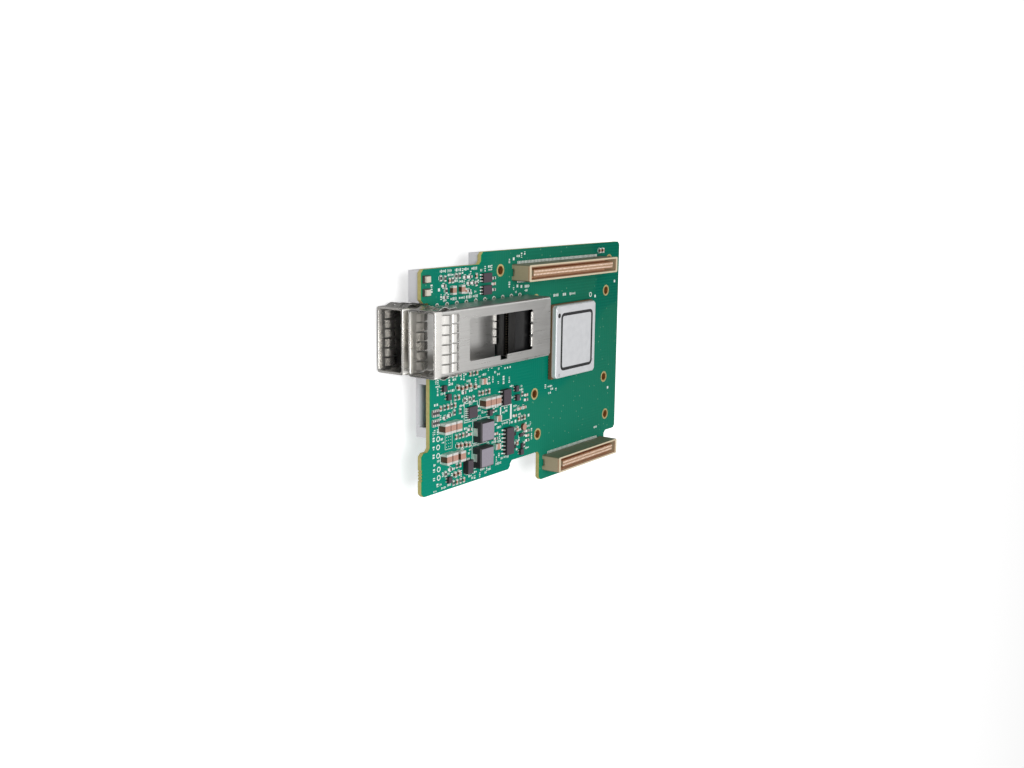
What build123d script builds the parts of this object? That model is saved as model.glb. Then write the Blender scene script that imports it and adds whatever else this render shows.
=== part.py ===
from build123d import *
import os

# Network adapter card with two belly-to-belly module ports.
# The card lies on its back. X runs from the port end to the rear, Y across the board,
# Z up out of the face that carries the board-to-board connectors.
# The origin is the bottom centre of the box round the whole card.
os.makedirs("parts", exist_ok=True)

# Circuit board
board_length = 110
board_width = 68
board_thickness = 1.57
front_step_drop = 3.7
front_step_length = 28.2
low_front_drop = 2.7
low_gap_length = 17
recess_depth = 3.8
recess_start = 10.5
tab_drop = 10
tab_length = 41.3
tab_rear_margin = 7.4
board_corner_cut = 1
bite_radius = 0.35
bite_spacing = 0.95
bite_count = 4
bite_middle = 3.8
small_hole_sides = 8

# Screw holes, measured from the board's edges
screw_hole_diameter = 2.75
screw_edge_margin = 6.1
screw_rear_margin = 6.9
screw_step_margin = 9.7
screw_tab_margin = 1.5
sink_front_margin = 6.2
sink_rear_margin = 8.5
sink_hole_width_spacing = 31.1
sink_side_offset = 0.85

# Module port cages
port_overhang = 6
port_share = 11 / 17
cage_length = 57.5
cage_width = 18.9
cage_height = 9.5
cage_standoff = 0.4
cage_sheet = 0.3
cage_bend = 0.7
window_start = 15.8
window_rear_margin = 9.7
window_width = 12.5
window_corner = 0.5
notch_start = 30.9
notch_length = 3.6
notch_depth = 1.4
flange_depth = 1
flange_margin = 1.6
flange_notch = 0.6
floor_socket_gap = 0.6
floor_side_ledge = 0.8
floor_rear_ledge = 1.6
stop_tab_count = 4
stop_tab_width = 2
stop_tab_spacing = 2.4
stop_tab_height = 1
latch_start = 9.5
latch_length = 3.2
latch_height = 2.6
latch_bend_in = 0.9
flap_slit = 0.2
cage_pin_count = 5
cage_pin_start = 12.9
cage_pin_rear_margin = 3.02
cage_pin_width = 0.8
cage_pin_reach = 1.3
cage_shoulder_width = 1.6
pin_hole_diameter = 1.1

# Spring collars round the cage mouths
collar_strip = 0.15
collar_gap = 0.05
collar_ring_length = 2.6
collar_bevel = 0.3
inner_bevel = 0.2
long_side_finger_margin = 1.05
short_side_finger_margin = 0.55
finger_slot = 0.5
finger_arch_length = 4.9
finger_rise = 0.8
finger_foot_length = 3.2
finger_foot_rise = 0.25
long_side_finger_count = 6
short_side_finger_count = 3
outer_wave_shares = ((0, 0), (0.2, 0.3), (0.4, 1), (0.62, 1), (1, 0))
inner_wave_shares = ((0, 0), (0.35, 1), (0.65, 1), (1, 0))

# Sockets inside the cages
socket_rear_margin = 2.5
socket_depth = 14
socket_side_gap = 0.75
socket_height = 8
socket_slot_wall = 0.5
socket_slot_height = 1.8
socket_slot_rise = 3.6
socket_step_depth = 4.5
socket_step_drop = 0.8
socket_contact_count = 19
socket_contact_margin = 0.525
socket_contact_width = 0.35
socket_contact_thickness = 0.5
socket_contact_front = 1

# Board-to-board connectors
stack_height = 6.8
stack_width = 5.2
stack_rim = 0.55
stack_slot = 1.15
stack_slot_depth = 4.6
stack_tongue_drop = 0.3
stack_end = 2.75
stack_end_wall = 1.1
stack_contact_spacing = 0.8
stack_contact_width = 0.4
stack_contact_thickness = 0.2
stack_tail_room = 0.35
stack_groove_width = 0.4
stack_groove_depth = 0.25
stack_groove_length = 4.4
stack_relief_width = 2.4
stack_relief_height = 1
stack_relief_depth = 0.7
stack_corner = 0.3
upper_row_contact_count = 60
upper_stack_share = 0.6436
upper_stack_edge_margin = 7.15
lower_row_contact_count = 40
lower_stack_shift = 0.25
lower_stack_drop = 4.3

# Network processor
substrate_size = 25
substrate_thickness = 1.1
ball_height = 0.3
lid_size = 24.4
lid_height = 1.7
lid_top_thickness = 0.8
lid_wall = 2
lid_corner = 0.8
lid_edge_break = 0.3
die_size = 13
processor_place_share = 0.409
processor_low_share = 0.5353

# Moulded cover behind the board
cover_depth = 3.8
cover_wall = 1
cover_inset = 0.4
cover_low_margin = 14.4
cover_cage_gap = 1.2
cover_hole_diameter = 5
cover_opening_margin = 3

# Power inductors
inductor_length = 6.8
inductor_width = 6.4
inductor_height = 3.2
inductor_edge_break = 0.4
inductor_terminal_width = 2.4
inductor_terminal_thickness = 0.15
inductor_terminal_height = 1.6

# Leaded packages: body length across the leads, body width along them, height
package_standoff = 0.1
lead_thickness = 0.2
small_outline_spacing = 1.27
small_outline_length = 3.9
small_outline_height = 1.55
small_outline_lead_width = 0.42
small_outline_lead_reach = 1.05
small_outline_end = 0.55
transistor_side_lead_count = 4
regulator_side_lead_count = 7
fine_spacing = 0.65
fine_lead_width = 0.3
fine_lead_reach = 0.8
fine_height = 1
fine_end = 0.45
controller_length = 4.2
controller_side_lead_count = 5
logic_length = 4.2
logic_side_lead_count = 3
tiny_length = 1.6
tiny_spacing = 0.95
tiny_side_lead_count = 2
tiny_lead_reach = 0.55
diode_length = 4.2
diode_width = 2.7
diode_height = 2
diode_tab_reach = 0.5
diode_tab_width = 1.5
diode_edge_break = 0.1

# Chip parts: length between the ends, width, height
chip_end_share = 0.22
tall_capacitor = (3.2, 2.5, 2.4)
capacitor = (2.6, 1.8, 1.2)
small_capacitor = (1.6, 0.8, 0.8)
resistor = (1.6, 0.8, 0.45)
network_length = 3.2
network_width = 1.6
network_height = 0.5
network_element_count = 4
network_end_width = 0.4
network_end_length = 0.3
led_base = (3, 2.2, 0.5)
led_lens = (1.8, 1.7, 0.7)

# One overrun serves every cut
overrun = 1

# Places on the board: share of its length, share across it, quarter turns.
# Across it, 0 to 0.5 leads from the low edge to the cages and 0.5 to 1 from there to the top.
tall_capacitor_shares = (
    (0.084, 0.2421, 1), (0.109, 0.2421, 1), (0.135, 0.2421, 1),
    (0.092, 0.1053, 1), (0.118, 0.1053, 1), (0.152, 0.1023, 1),
    (0.265, 0.3110, 1), (0.290, 0.3110, 1), (0.315, 0.3110, 1),
)
capacitor_shares = (
    (0.125, 0.6401, 1), (0.163, 0.6401, 1),
    (0.333, 0.2214, 0), (0.331, 0.0905, 0), (0.262, 0.4094, 0),
)
small_capacitor_shares = (
    (0.150, 0.1456, 1), (0.166, 0.1437, 1), (0.185, 0.1417, 1), (0.431, 0.1456, 1), (0.431, 0.0787, 1),
    (0.150, 0.4054, 1), (0.168, 0.3976, 1), (0.186, 0.3995, 1), (0.204, 0.4015, 1),
    (0.874, 0.9112, 1), (0.892, 0.9112, 1), (0.155, 0.0216, 1), (0.138, 0.0197, 1),
    (0.441, 0.2411, 0), (0.466, 0.2411, 0), (0.227, 0.3936, 1),
)
resistor_shares = (
    (0.076, 0.7710, 1), (0.094, 0.7640, 1), (0.141, 0.7780, 1), (0.156, 0.7780, 1), (0.182, 0.7570, 0),
    (0.203, 0.7570, 0), (0.198, 0.6915, 0), (0.217, 0.6915, 0), (0.090, 0.6915, 0), (0.099, 0.6401, 1),
    (0.198, 0.6144, 0), (0.095, 0.5747, 0), (0.181, 0.3415, 1), (0.203, 0.3405, 1), (0.221, 0.3405, 1),
    (0.096, 0.2854, 0), (0.116, 0.2913, 0), (0.135, 0.2982, 1), (0.098, 0.0344, 1), (0.120, 0.0492, 0),
    (0.470, 0.1132, 1), (0.470, 0.0590, 1),
)
tiny_shares = (
    (0.088, 0.4153, 0), (0.107, 0.3740, 0), (0.295, 0.2578, 0), (0.428, 0.2962, 0), (0.424, 0.3395, 0),
    (0.111, 0.0049, 0), (0.452, 0.0295, 0),
)
logic_shares = ((0.274, 0.7313, 0), (0.274, 0.6027, 0))
network_shares = ((0.055, 0.3153, 0), (0.055, 0.2727, 0))
led_shares = ((0.017, 0.7757, 0), (0.017, 0.6448, 0))
inductor_shares = ((0.256, 0.1870, 0), (0.254, 0.0699, 0))
controller_shares = ((0.212, 0.2814, 0),)
transistor_shares = ((0.367, 0.3139, 0),)
regulator_shares = ((0.384, 0.1023, 0),)
diode_shares = ((0.190, 0.0413, 1),)
rear_capacitor_shares = (
    (0.068, 0.7185, 0), (0.062, 0.5750, 0), (0.070, 0.4315, 0), (0.062, 0.2879, 0),
    (0.068, 0.1587, 0), (0.110, 0.6755, 1), (0.110, 0.4602, 1), (0.110, 0.2449, 1),
)

# Where the card stands in its own frame
front_reach = port_overhang + collar_gap + collar_strip
board_x = -(board_length - front_reach) / 2
board_y = -(board_width - tab_drop) / 2
collar_stand = collar_gap + collar_strip + finger_rise
back_height = collar_stand + cage_height + cage_standoff
face_height = back_height + board_thickness

face = Plane(origin=(board_x, board_y, face_height))
back = Plane(origin=(board_x, board_y, back_height))
underside = Plane(origin=back.origin, x_dir=(1, 0, 0), z_dir=(0, 0, -1))

# Both cages are the same part, one on each side of the board
port_centre = port_share * board_width
cages_low = port_centre - cage_width / 2
cages_high = port_centre + cage_width / 2
port_x = board_x - port_overhang
port_y = board_y + port_centre
upper_port = Plane(origin=(port_x, port_y, face_height))
lower_port = Plane(origin=(port_x, port_y, back_height), x_dir=(1, 0, 0), z_dir=(0, 0, -1))
cage_middle = cage_standoff + cage_height / 2
cage_pin_side = (cage_width - cage_sheet) / 2
cage_pin_room = cage_length - cage_pin_start - cage_pin_rear_margin
cage_pin_spacing = cage_pin_room / (cage_pin_count - 0.5)


def keep(builder, label):
    """Label a finished sub-part and write it."""
    builder.part.label = label
    export_step(builder.part, f"parts/{label}.step")


def across(place, forward, height):
    """Section plane across a cage, looking to the rear."""
    origin = place.from_local_coords((forward, 0, height))
    return Plane(origin=origin, x_dir=place.y_dir, z_dir=place.x_dir)


def along(place, sideways):
    """Profile plane along a place's X axis, with its own Y pointing out of the board."""
    origin = place.from_local_coords((0, sideways, 0))
    return Plane(origin=origin, x_dir=place.x_dir, z_dir=-place.y_dir)


def bevelled(width, height, cut):
    """Rectangle with its corners cut off."""
    with BuildSketch() as outline:
        Rectangle(width, height)
        chamfer(outline.vertices(), cut)
    return outline.sketch


def shift(points, forward, height):
    """Move the points of an outline."""
    return [(x + forward, y + height) for x, y in points]


# The circuit board

tab_end = board_length - tab_rear_margin
tab_start = tab_end - tab_length
low_front_length = tab_start - low_gap_length
cage_end = cage_length - port_overhang
processor_room = board_length - cage_end - substrate_size
processor_x = cage_end + substrate_size / 2 + processor_place_share * processor_room
processor_y = processor_low_share * board_width
recess_end = cages_high + pin_hole_diameter
step_height = board_width - front_step_drop
screw_x = board_length - screw_rear_margin
screw_high = board_width - screw_edge_margin
sink_places = [
    (forward, processor_y - sink_side_offset + up * sink_hole_width_spacing / 2)
    for forward in (cage_end + sink_front_margin, board_length - sink_rear_margin)
    for up in (-1, 1)
]
screw_places = [
    (front_step_length + screw_step_margin, screw_high),
    (screw_x, screw_high),
    (tab_start - screw_tab_margin, screw_edge_margin),
    (screw_x, screw_edge_margin),
]
pin_steps = range(2 * cage_pin_count)
pin_places = [
    (cage_pin_start - port_overhang + step * cage_pin_spacing / 2, port_centre + side * cage_pin_side)
    for step in pin_steps
    for side in (-1, 1)
]
bite_places = [
    (0, bite_middle + (step - (bite_count - 1) / 2) * bite_spacing) for step in range(bite_count)
]
board_outline = [
    (0, -low_front_drop),
    (0, recess_start),
    (recess_depth, recess_start),
    (recess_depth, recess_end),
    (0, recess_end),
    (0, step_height),
    (front_step_length, step_height),
    (front_step_length, board_width),
    (board_length, board_width),
    (board_length, 0),
    (tab_end, 0),
    (tab_end, -tab_drop),
    (tab_start, -tab_drop),
    (tab_start, 0),
    (low_front_length, 0),
    (low_front_length, -low_front_drop),
]

with BuildPart() as circuit_board:
    with BuildSketch(face) as board_sketch:
        with BuildLine():
            Polyline(*board_outline, close=True)
        make_face()
        chamfer(board_sketch.vertices(), board_corner_cut)
        with Locations(*screw_places, *sink_places):
            Circle(screw_hole_diameter / 2, mode=Mode.SUBTRACT)
        with Locations(*pin_places):
            RegularPolygon(
                pin_hole_diameter / 2, small_hole_sides, major_radius=False, mode=Mode.SUBTRACT
            )
        with Locations(*bite_places):
            RegularPolygon(bite_radius, small_hole_sides, mode=Mode.SUBTRACT)
    extrude(amount=-board_thickness)
keep(circuit_board, "circuit_board")


# The folded module cages

window_end = cage_length - window_rear_margin
window_length = window_end - window_start
socket_rear = cage_length - socket_rear_margin
socket_start = socket_rear - socket_depth
floor_length = socket_start - floor_socket_gap
window_middle = (window_start + window_end) / 2
flange_width = window_width - 2 * flange_margin
latch_middle = latch_start + latch_length / 2
latch_end = latch_start + latch_length
latch_tip = latch_start + latch_bend_in
cage_top = cage_standoff + cage_height
pin_root = cage_standoff + cage_bend


def latch_outline(side):
    """Latch tongue bent in from the rear edge of its side opening, seen along the wall."""
    outside = side * cage_width / 2
    inside = side * (cage_width / 2 - cage_sheet)
    bend = side * latch_bend_in
    return [
        (latch_end + cage_sheet, outside),
        (latch_end, outside),
        (latch_tip, outside - bend),
        (latch_tip, inside - bend),
        (latch_end + cage_sheet, inside),
    ]


def module_cage(place):
    """One folded sheet: a tube with a heat sink window, a rear flap, latches and pins."""
    with BuildPart() as cage:
        # Tube and rear flap
        with BuildSketch(across(place, 0, cage_middle)):
            RectangleRounded(cage_width, cage_height, cage_bend)
            RectangleRounded(
                cage_width - 2 * cage_sheet,
                cage_height - 2 * cage_sheet,
                cage_bend - cage_sheet,
                mode=Mode.SUBTRACT,
            )
        extrude(amount=cage_length - cage_sheet)
        with BuildSketch(across(place, cage_length - cage_sheet, cage_middle)):
            Rectangle(cage_width - 2 * cage_bend, cage_height)
        extrude(amount=cage_sheet)
        # Heat sink window with its notch
        with BuildSketch(place.offset(cage_top)):
            with Locations((window_middle, 0)):
                add(bevelled(window_length, window_width, window_corner))
            with Locations((notch_start, -window_width / 2 + window_corner)):
                Rectangle(
                    notch_length, notch_depth + window_corner, align=(Align.MIN, Align.MAX)
                )
        extrude(amount=-cage_sheet, mode=Mode.SUBTRACT)
        # Open floor under the socket
        with BuildSketch(place.offset(cage_standoff)):
            with Locations((floor_length, 0)):
                Rectangle(
                    cage_length - floor_rear_ledge - floor_length,
                    cage_width - 2 * floor_side_ledge,
                    align=(Align.MIN, Align.CENTER),
                )
        extrude(amount=cage_sheet, mode=Mode.SUBTRACT)
        # Latch openings in both side walls
        with BuildSketch(along(place, 0)):
            with Locations((latch_middle, cage_middle)):
                Rectangle(latch_length, latch_height)
        extrude(amount=cage_width, both=True, mode=Mode.SUBTRACT)
        # Lips folded in along the window's ends and its notch
        for forward in (window_start - cage_sheet, window_end):
            with BuildSketch(across(place, forward, cage_top)):
                Rectangle(flange_width, flange_depth, align=(Align.CENTER, Align.MAX))
                with Locations((0, -flange_depth)):
                    with GridLocations(flange_width / 3, 0, 2, 1):
                        Rectangle(flange_notch, flange_notch, mode=Mode.SUBTRACT)
            extrude(amount=cage_sheet)
        with BuildSketch(place.offset(cage_top)):
            with Locations((notch_start + notch_length / 2, -window_width / 2 - notch_depth)):
                Rectangle(
                    notch_length - 2 * flap_slit, cage_sheet, align=(Align.CENTER, Align.MAX)
                )
        extrude(amount=-flange_depth)
        # Tabs turned up from the floor in front of the socket
        with BuildSketch(place.offset(cage_standoff)):
            with Locations((floor_length - cage_sheet / 2, 0)):
                with GridLocations(0, stop_tab_spacing, 1, stop_tab_count):
                    Rectangle(cage_sheet, stop_tab_width)
        extrude(amount=stop_tab_height)
        # Latch tongues
        for side in (-1, 1):
            with BuildSketch(place.offset(cage_middle)):
                with BuildLine():
                    Polyline(*latch_outline(side), close=True)
                make_face()
            extrude(amount=latch_height / 2 - flap_slit, both=True)
        # Press-in pins and their shoulders, half a pitch apart on the two sides
        for side in (-1, 1):
            start = cage_pin_start + (1 - side) * cage_pin_spacing / 4
            middles = [start + step * cage_pin_spacing for step in range(cage_pin_count)]
            with BuildSketch(along(place, side * cage_width / 2)):
                with Locations(*[(middle, pin_root) for middle in middles]):
                    Rectangle(cage_shoulder_width, pin_root, align=(Align.CENTER, Align.MAX))
                    Rectangle(
                        cage_pin_width,
                        pin_root + cage_pin_reach,
                        align=(Align.CENTER, Align.MAX),
                    )
            extrude(amount=side * cage_sheet)
    return cage


keep(module_cage(upper_port), "connector_side_cage")
keep(module_cage(lower_port), "rear_side_cage")


# The spring collars

long_spacing = (cage_width - 2 * long_side_finger_margin) / long_side_finger_count
short_spacing = (cage_height - 2 * short_side_finger_margin) / short_side_finger_count


def arch(shares, start, rise):
    """Points of a finger's wave from shares of its length and rise."""
    return [(start + finger_arch_length * forward, rise * up) for forward, up in shares]


def foot(start):
    """Points of the low step behind a finger's wave."""
    return [
        (start + finger_foot_rise, finger_foot_rise),
        (start + finger_foot_length - finger_foot_rise, finger_foot_rise),
        (start + finger_foot_length, 0),
    ]


def finger_row(wall_plane, points, count, spacing):
    """A row of fingers: one wave as wide as the row, cut by the slots between them."""
    strip = points + [(x, y + collar_strip) for x, y in reversed(points)]
    first, last = points[0][0], points[-1][0]
    cutter = Plane(origin=wall_plane.origin, x_dir=wall_plane.x_dir, z_dir=wall_plane.y_dir)
    with BuildPart() as row:
        with BuildSketch(wall_plane):
            with BuildLine():
                Polyline(*strip, close=True)
            make_face()
        extrude(amount=(count * spacing - finger_slot) / 2, both=True)
        with BuildSketch(cutter):
            with Locations((first, 0)):
                with GridLocations(0, spacing, 1, count - 1):
                    Rectangle(
                        last - first + overrun, finger_slot, align=(Align.MIN, Align.CENTER)
                    )
        extrude(amount=finger_rise + overrun, both=True, mode=Mode.SUBTRACT)
    return row.part


def wall_planes(place):
    """Walls of a cage: plane with Y out of the wall, finger counts outside and inside, spacing."""
    centre = place.from_local_coords((0, 0, cage_middle))
    long_side = (cage_height / 2, long_side_finger_count, long_side_finger_count, long_spacing)
    short_side = (cage_width / 2, short_side_finger_count, short_side_finger_count - 1, short_spacing)
    walls = (
        (place.z_dir, long_side, True),
        (-place.z_dir, long_side, False),
        (place.y_dir, short_side, True),
        (-place.y_dir, short_side, True),
    )
    for outward, (reach, outer_count, inner_count, spacing), footed in walls:
        wall = Plane(
            origin=centre + outward * reach,
            x_dir=place.x_dir,
            z_dir=place.x_dir.cross(outward),
        )
        yield wall, outer_count, inner_count, spacing, footed


def spring_collar(place):
    """Hemmed strip over a cage's mouth, with arched fingers outside and inside."""
    fold_depth = collar_gap + collar_strip
    inset = cage_sheet + collar_gap
    ring_end = collar_ring_length + fold_depth
    outer_wave = arch(outer_wave_shares, collar_ring_length, finger_rise)
    outer_foot = foot(collar_ring_length + finger_arch_length)
    inner_wave = arch(inner_wave_shares, collar_ring_length, -finger_rise)
    rows = []
    for wall, outer_count, inner_count, spacing, footed in wall_planes(place):
        outside = shift(outer_wave + outer_foot if footed else outer_wave, 0, collar_gap)
        inside = shift(inner_wave, 0, -inset - collar_strip)
        rows.append(finger_row(wall, outside, outer_count, spacing))
        rows.append(finger_row(wall, inside, inner_count, spacing))
    mouth = across(place, -fold_depth, cage_middle)
    outer = (cage_width + 2 * fold_depth, cage_height + 2 * fold_depth)
    inner = (cage_width - 2 * inset, cage_height - 2 * inset)
    thin = 2 * collar_strip
    with BuildPart() as collar:
        with BuildSketch(mouth):
            add(bevelled(*outer, collar_bevel))
            Rectangle(inner[0] - thin, inner[1] - thin, mode=Mode.SUBTRACT)
        extrude(amount=collar_strip)
        with BuildSketch(mouth):
            add(bevelled(*outer, collar_bevel))
            add(bevelled(outer[0] - thin, outer[1] - thin, collar_bevel), mode=Mode.SUBTRACT)
        extrude(amount=ring_end)
        with BuildSketch(mouth):
            add(bevelled(*inner, inner_bevel))
            Rectangle(inner[0] - thin, inner[1] - thin, mode=Mode.SUBTRACT)
        extrude(amount=ring_end)
        add(rows)
    return collar


keep(spring_collar(upper_port), "connector_side_spring_collar")
keep(spring_collar(lower_port), "rear_side_spring_collar")


# The sockets inside the cages

socket_width = cage_width - 2 * (cage_sheet + socket_side_gap)
socket_slot_width = socket_width - 2 * socket_slot_wall
socket_slot_top = socket_slot_rise + socket_slot_height
socket_row_width = socket_slot_width - 2 * socket_contact_margin
socket_contact_spacing = (socket_row_width - socket_contact_width) / (socket_contact_count - 1)


def socket_housing(place):
    """Moulded housing with the module's card slot right through it."""
    with BuildPart() as housing:
        with BuildSketch(along(place, 0)):
            with BuildLine():
                Polyline(
                    (socket_start, 0),
                    (socket_start, socket_height),
                    (socket_rear - socket_step_depth, socket_height),
                    (socket_rear - socket_step_depth, socket_height - socket_step_drop),
                    (socket_rear, socket_height - socket_step_drop),
                    (socket_rear, 0),
                    close=True,
                )
            make_face()
        extrude(amount=socket_width / 2, both=True)
        with BuildSketch(across(place, socket_start, socket_slot_rise + socket_slot_height / 2)):
            Rectangle(socket_slot_width, socket_slot_height)
        extrude(amount=socket_depth, mode=Mode.SUBTRACT)
    return housing


def contact_comb(place, profiles, row_width, count, pitch, width):
    """Rows of contacts: each profile drawn out to the row's width, then cut between contacts."""
    with BuildPart() as comb:
        for profile in profiles:
            with BuildSketch(along(place, 0)):
                with BuildLine():
                    Polyline(*profile, close=True)
                make_face()
            extrude(amount=row_width / 2, both=True)
        points = [point for profile in profiles for point in profile]
        first = min(x for x, y in points) - overrun
        last = max(x for x, y in points) + overrun
        with BuildSketch(place):
            with Locations(((first + last) / 2, 0)):
                with GridLocations(0, pitch, 1, count - 1):
                    Rectangle(last - first, pitch - width)
        extrude(amount=max(y for x, y in points) + overrun, mode=Mode.SUBTRACT)
    return comb


def socket_contacts(place):
    """Two rows of contacts lying on the roof and the floor of the card slot."""
    first = socket_start + socket_contact_front
    thick = socket_contact_thickness
    rows = [
        [(first, low), (first, low + thick), (socket_rear, low + thick), (socket_rear, low)]
        for low in (socket_slot_rise, socket_slot_top - thick)
    ]
    return contact_comb(
        place,
        rows,
        socket_row_width,
        socket_contact_count,
        socket_contact_spacing,
        socket_contact_width,
    )


for side_name, port in (("connector_side", upper_port), ("rear_side", lower_port)):
    keep(socket_housing(port), f"{side_name}_host_socket")
    keep(socket_contacts(port), f"{side_name}_host_contacts")


# The board-to-board connectors

tongue_width = stack_width - 2 * (stack_rim + stack_slot)
tongue_top = stack_height - stack_tongue_drop


def stack_plane(middle, height_on_board):
    """Plane on the board under a connector, with its own Y along the connector."""
    origin = face.from_local_coords((middle, height_on_board, 0))
    return Plane(origin=origin, x_dir=(0, 1, 0), z_dir=(0, 0, 1))


def stack_housing(place, row_contact_count):
    """Moulded housing with a slot round a central tongue, open under its contact rows."""
    span = row_contact_count * stack_contact_spacing
    length = span + 2 * stack_end
    with BuildPart() as housing:
        with BuildSketch(place):
            add(bevelled(stack_width, length, stack_corner))
        extrude(amount=stack_height)
        with BuildSketch(place.offset(stack_height)):
            Rectangle(stack_width - 2 * stack_rim, length - 2 * stack_end_wall)
            Rectangle(tongue_width, span, mode=Mode.SUBTRACT)
        extrude(amount=-stack_slot_depth, mode=Mode.SUBTRACT)
        with BuildSketch(place.offset(stack_height)):
            Rectangle(tongue_width, span)
        extrude(amount=-stack_tongue_drop, mode=Mode.SUBTRACT)
        with BuildSketch(place):
            Rectangle(stack_width, span)
        extrude(amount=stack_tail_room, mode=Mode.SUBTRACT)
        channel = tongue_width / 2 + stack_contact_thickness / 2
        with BuildSketch(place):
            with Locations((channel, 0), (-channel, 0)):
                Rectangle(stack_contact_thickness, span)
        extrude(amount=stack_height, mode=Mode.SUBTRACT)
        with BuildSketch(place):
            with GridLocations(stack_width, span / 2, 2, 2):
                Rectangle(2 * stack_groove_depth, stack_groove_width)
        extrude(amount=stack_groove_length, mode=Mode.SUBTRACT)
        with BuildSketch(place):
            with GridLocations(0, length, 1, 2):
                Rectangle(stack_relief_width, 2 * stack_relief_depth)
        extrude(amount=stack_relief_height, mode=Mode.SUBTRACT)
    return housing


def stack_contacts(place, row_contact_count):
    """Two rows of contact blades standing on the tongue's sides."""
    inner = tongue_width / 2
    outer = inner + stack_contact_thickness
    right = [(inner, 0), (inner, tongue_top), (outer, tongue_top), (outer, 0)]
    left = [(-x, y) for x, y in reversed(right)]
    row_width = (row_contact_count - 1) * stack_contact_spacing + stack_contact_width
    return contact_comb(
        place,
        (right, left),
        row_width,
        row_contact_count,
        stack_contact_spacing,
        stack_contact_width,
    )


upper_stack = stack_plane(upper_stack_share * board_length, board_width - upper_stack_edge_margin)
lower_stack = stack_plane((tab_start + tab_end) / 2 - lower_stack_shift, -lower_stack_drop)
for stack_name, stack_place, row_count in (
    ("upper_board", upper_stack, upper_row_contact_count),
    ("lower_board", lower_stack, lower_row_contact_count),
):
    keep(stack_housing(stack_place, row_count), f"{stack_name}_connector")
    keep(stack_contacts(stack_place, row_count), f"{stack_name}_contacts")


# The network processor: substrate on its solder, die, and lid over the die

processor = Plane(origin=face.from_local_coords((processor_x, processor_y, 0)))
substrate_base = processor.offset(ball_height)
substrate_top = processor.offset(ball_height + substrate_thickness)
lid_cavity = lid_height - lid_top_thickness

with BuildPart() as processor_substrate:
    with BuildSketch(substrate_base):
        Rectangle(substrate_size, substrate_size)
    extrude(amount=substrate_thickness)
keep(processor_substrate, "processor_substrate")

with BuildPart() as processor_die:
    with BuildSketch(substrate_top):
        Rectangle(die_size, die_size)
    extrude(amount=lid_cavity)
keep(processor_die, "processor_die")

with BuildPart() as processor_lid:
    with BuildSketch(substrate_top):
        add(bevelled(lid_size, lid_size, lid_corner))
    extrude(amount=lid_height)
    chamfer(processor_lid.faces().sort_by(Axis.Z)[-1].edges(), lid_edge_break)
    with BuildSketch(substrate_top):
        Rectangle(lid_size - 2 * lid_wall, lid_size - 2 * lid_wall)
    extrude(amount=lid_cavity, mode=Mode.SUBTRACT)
keep(processor_lid, "processor_lid")


# The moulded cover behind the board

cage_gap_low = cages_low - cover_cage_gap
cage_gap_high = cages_high + cover_cage_gap
cage_gap_rear = cage_end + cover_cage_gap
cover_rear = board_length - cover_inset
cover_outline = [
    (recess_depth, cover_low_margin),
    (recess_depth, cage_gap_low),
    (cage_gap_rear, cage_gap_low),
    (cage_gap_rear, cage_gap_high),
    (cover_inset, cage_gap_high),
    (cover_inset, step_height - cover_inset),
    (front_step_length + cover_inset, step_height - cover_inset),
    (front_step_length + cover_inset, board_width - cover_inset),
    (cover_rear, board_width - cover_inset),
    (cover_rear, cover_low_margin),
]
cover_holes = [place for place in screw_places if place[1] > cover_low_margin]
cover_opening = cage_gap_low - cover_low_margin - 2 * cover_opening_margin

with BuildPart() as rear_cover:
    with BuildSketch(back) as cover_sketch:
        with BuildLine():
            Polyline(*cover_outline, close=True)
        make_face()
    extrude(amount=-cover_depth)
    with BuildSketch(back):
        with BuildLine():
            Polyline(*cover_outline, close=True)
        make_face()
        offset(amount=-cover_wall, kind=Kind.INTERSECTION, mode=Mode.REPLACE)
    extrude(amount=-(cover_depth - cover_wall), mode=Mode.SUBTRACT)
    with BuildSketch(back):
        with Locations((recess_depth, cover_low_margin + cover_opening_margin)):
            Rectangle(2 * cover_wall, cover_opening, align=(Align.CENTER, Align.MIN))
    extrude(amount=-(cover_depth - cover_wall), mode=Mode.SUBTRACT)
    with BuildSketch(back):
        with Locations(*cover_holes):
            Circle(cover_hole_diameter / 2)
    extrude(amount=-cover_depth, mode=Mode.SUBTRACT)
keep(rear_cover, "rear_cover")


# Power inductors

def up_from(up_share):
    """Distance from the board's low edge: the lower half of the shares ends at the cages."""
    if up_share < 0.5:
        return 2 * up_share * cages_low
    return cages_high + (2 * up_share - 1) * (board_width - cages_high)


def sites(shares):
    """Places on the board from shares along and across it and quarter turns."""
    return [
        Location((along_share * board_length, up_from(up_share), 0), (0, 0, 90 * turns))
        for along_share, up_share, turns in shares
    ]


with BuildPart() as power_inductor_shells:
    with BuildSketch(face):
        with Locations(*sites(inductor_shares)):
            Rectangle(inductor_length, inductor_width)
    extrude(amount=inductor_height)
    for top in power_inductor_shells.faces().group_by(Axis.Z)[-1]:
        chamfer(top.edges(), inductor_edge_break)
keep(power_inductor_shells, "power_inductor_shells")

terminal_offset = (inductor_length + inductor_terminal_thickness) / 2
with BuildPart() as power_inductor_terminals:
    with BuildSketch(face):
        with Locations(*sites(inductor_shares)):
            with Locations((terminal_offset, 0), (-terminal_offset, 0)):
                Rectangle(inductor_terminal_thickness, inductor_terminal_width)
    extrude(amount=inductor_terminal_height)
keep(power_inductor_terminals, "power_inductor_terminals")


# Leaded packages

def package_planes(shares):
    """One plane on the board for each package."""
    for site in sites(shares):
        yield Plane(face * site)


def flat_lead(reach):
    """Flat lead seen from its end, lying on the board beside the package."""
    top = package_standoff + lead_thickness
    return [(0, top), (reach, top), (reach, 0), (0, 0)]


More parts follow.
